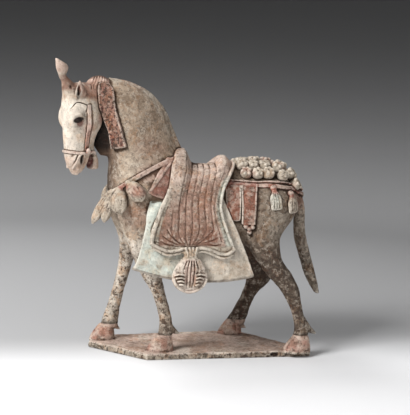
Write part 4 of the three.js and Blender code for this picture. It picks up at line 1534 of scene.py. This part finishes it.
def backdrop_finish():
    """Plain matt paper with painted light: white under and ahead of the figure, and painted shade that
    greys it the further it runs away.
    """
    shader = Shader("backdrop")
    place = shader.node("ShaderNodeTexCoord", None, None, "Object")
    flat = shader.node("ShaderNodeVectorMath", {"operation": "MULTIPLY"}, {0: place, 1: (1, 1, 0)})
    away = shader.node("ShaderNodeVectorMath", {"operation": "LENGTH"}, {0: flat}, "Value")
    ahead = shader.node("ShaderNodeSeparateXYZ", None, {0: place}, 1)
    # painted shade greying the paper away from the figure, then a painted pool of light whitening it
    # ahead
    shade = 0.42 - away.between(1.6, 2.45) * 0.375
    shade = shade + ahead.between(0.10, -0.14) * 0.45
    colour = shader.node("ShaderNodeCombineColor", None, {0: shade, 1: shade, 2: shade * 1.01})
    shader.plug(shader.surface.inputs["Base Color"], colour)
    shader.surface.inputs["Roughness"].default_value = 0.95
    shader.surface.inputs["Specular IOR Level"].default_value = 0.1
    return shader.material


def paper_sweep():
    """Round sheet of paper that curves up into a wall all the way round."""
    flat, bend, top = 1.4, 1.0, 3.0
    turn = np.linspace(0, math.pi / 2, 17)
    profile = [(flat * 0.5, 0.0)]
    profile += [(flat + bend * math.sin(a), bend * (1 - math.cos(a))) for a in turn]
    profile += [(flat + bend, top)]
    around = np.linspace(0, 2 * math.pi, 96, endpoint=False)
    count = len(around)
    points = [(0, 0, 0)] + [(r * math.cos(a), r * math.sin(a), z) for r, z in profile for a in around]
    faces = [(0, 1 + j, 1 + (j + 1) % count) for j in range(count)]
    for i in range(len(profile) - 1):
        low, up = 1 + i * count, 1 + (i + 1) * count
        faces += [(low + j, up + j, up + (j + 1) % count, low + (j + 1) % count) for j in range(count)]
    mesh = bpy.data.meshes.new("paper_sweep")
    mesh.from_pydata(points, [], faces)
    mesh.shade_smooth()
    mesh.materials.append(backdrop_finish())
    sweep = bpy.data.objects.new("paper_sweep", mesh)
    bpy.context.collection.objects.link(sweep)


def dim_world():
    """Weak even light from everywhere."""
    world = bpy.data.worlds.new("studio")
    world.use_nodes = True
    background = world.node_tree.nodes["Background"]
    background.inputs["Color"].default_value = (0.5, 0.5, 0.5, 1)
    background.inputs["Strength"].default_value = 0.16
    return world


def camera_from(settings):
    """Camera that looks a little down on the horse's left side."""
    lens = bpy.data.cameras.new("camera")
    lens.lens, lens.sensor_width = settings.camera_lens, 36
    lens.clip_start, lens.clip_end = 0.05, 20
    camera = bpy.data.objects.new("camera", lens)
    turn, climb = settings.camera_turn, settings.camera_climb
    away = Vector((-math.sin(turn) * math.cos(climb), -math.cos(turn) * math.cos(climb), math.sin(climb)))
    aside = Vector((0.0069, -0.0017, 0))  # sets the whole figure within the view
    camera.location = away * settings.camera_distance + Vector(SLAB_MIDDLE * MM) + aside
    ahead = Matrix.Rotation(-turn, 4, "Z") @ Matrix.Rotation(math.pi / 2 - settings.camera_pitch, 4, "X")
    lean = Matrix.Rotation(settings.camera_roll, 4, "Z")
    camera.matrix_world = Matrix.Translation(camera.location) @ ahead @ lean
    bpy.context.collection.objects.link(camera)
    return camera


class POTTERY_OT_stage(bpy.types.Operator):
    """Set up the paper sweep, the soft lights and the camera"""

    bl_idname = "pottery.stage"
    bl_label = "Stage"

    def execute(self, context):
        settings = context.scene.pottery_light
        paper_sweep()
        middle = Vector((0, 0, 0.2))
        area_light("key_light", (-1.45, -0.95, 1.5), middle, 0.8, settings.key_power)
        area_light("fill_light", (1.5, -1.3, 0.7), middle, 1.2, settings.fill_power)
        area_light("top_light", (-0.5, 0.9, 1.5), middle, 0.8, settings.top_power)
        context.scene.world = dim_world()
        context.scene.view_settings.view_transform = "Standard"
        context.scene.camera = camera_from(settings)
        return {"FINISHED"}


class POTTERY_PT_panel(bpy.types.Panel):
    """Sizes, colours, light and the steps of the work"""

    bl_label = "Pottery Horse"
    bl_space_type = "VIEW_3D"
    bl_region_type = "UI"
    bl_category = "Pottery"

    def draw(self, context):
        column = self.layout.column()
        for name in GROUPS:
            group = getattr(context.scene, name)
            for setting in group.__annotations__:
                column.prop(group, setting)
        for step in STEPS:
            column.operator(step.bl_idname)


STEPS = (
    POTTERY_OT_stage, POTTERY_OT_horse, POTTERY_OT_head, POTTERY_OT_saddle, POTTERY_OT_harness,
)
GROUPS = {
    "pottery_sizes": SizesOfHorse,
    "pottery_pigments": PigmentsOfHorse,
    "pottery_light": LightOfStage,
}


def register():
    """Registers every class and hangs the settings on the scene."""
    for kind in (*GROUPS.values(), *STEPS, POTTERY_PT_panel):
        bpy.utils.register_class(kind)
    for name, kind in GROUPS.items():
        setattr(bpy.types.Scene, name, PointerProperty(type=kind))


def unregister():
    """Takes back what register did."""
    for name in GROUPS:
        delattr(bpy.types.Scene, name)
    for kind in (POTTERY_PT_panel, *STEPS, *GROUPS.values()):
        bpy.utils.unregister_class(kind)


def main():
    """Makes the stage and every piece."""
    register()
    for step in STEPS:
        group, name = step.bl_idname.split(".")
        getattr(getattr(bpy.ops, group), name)()


if __name__ == "__main__":
    main()
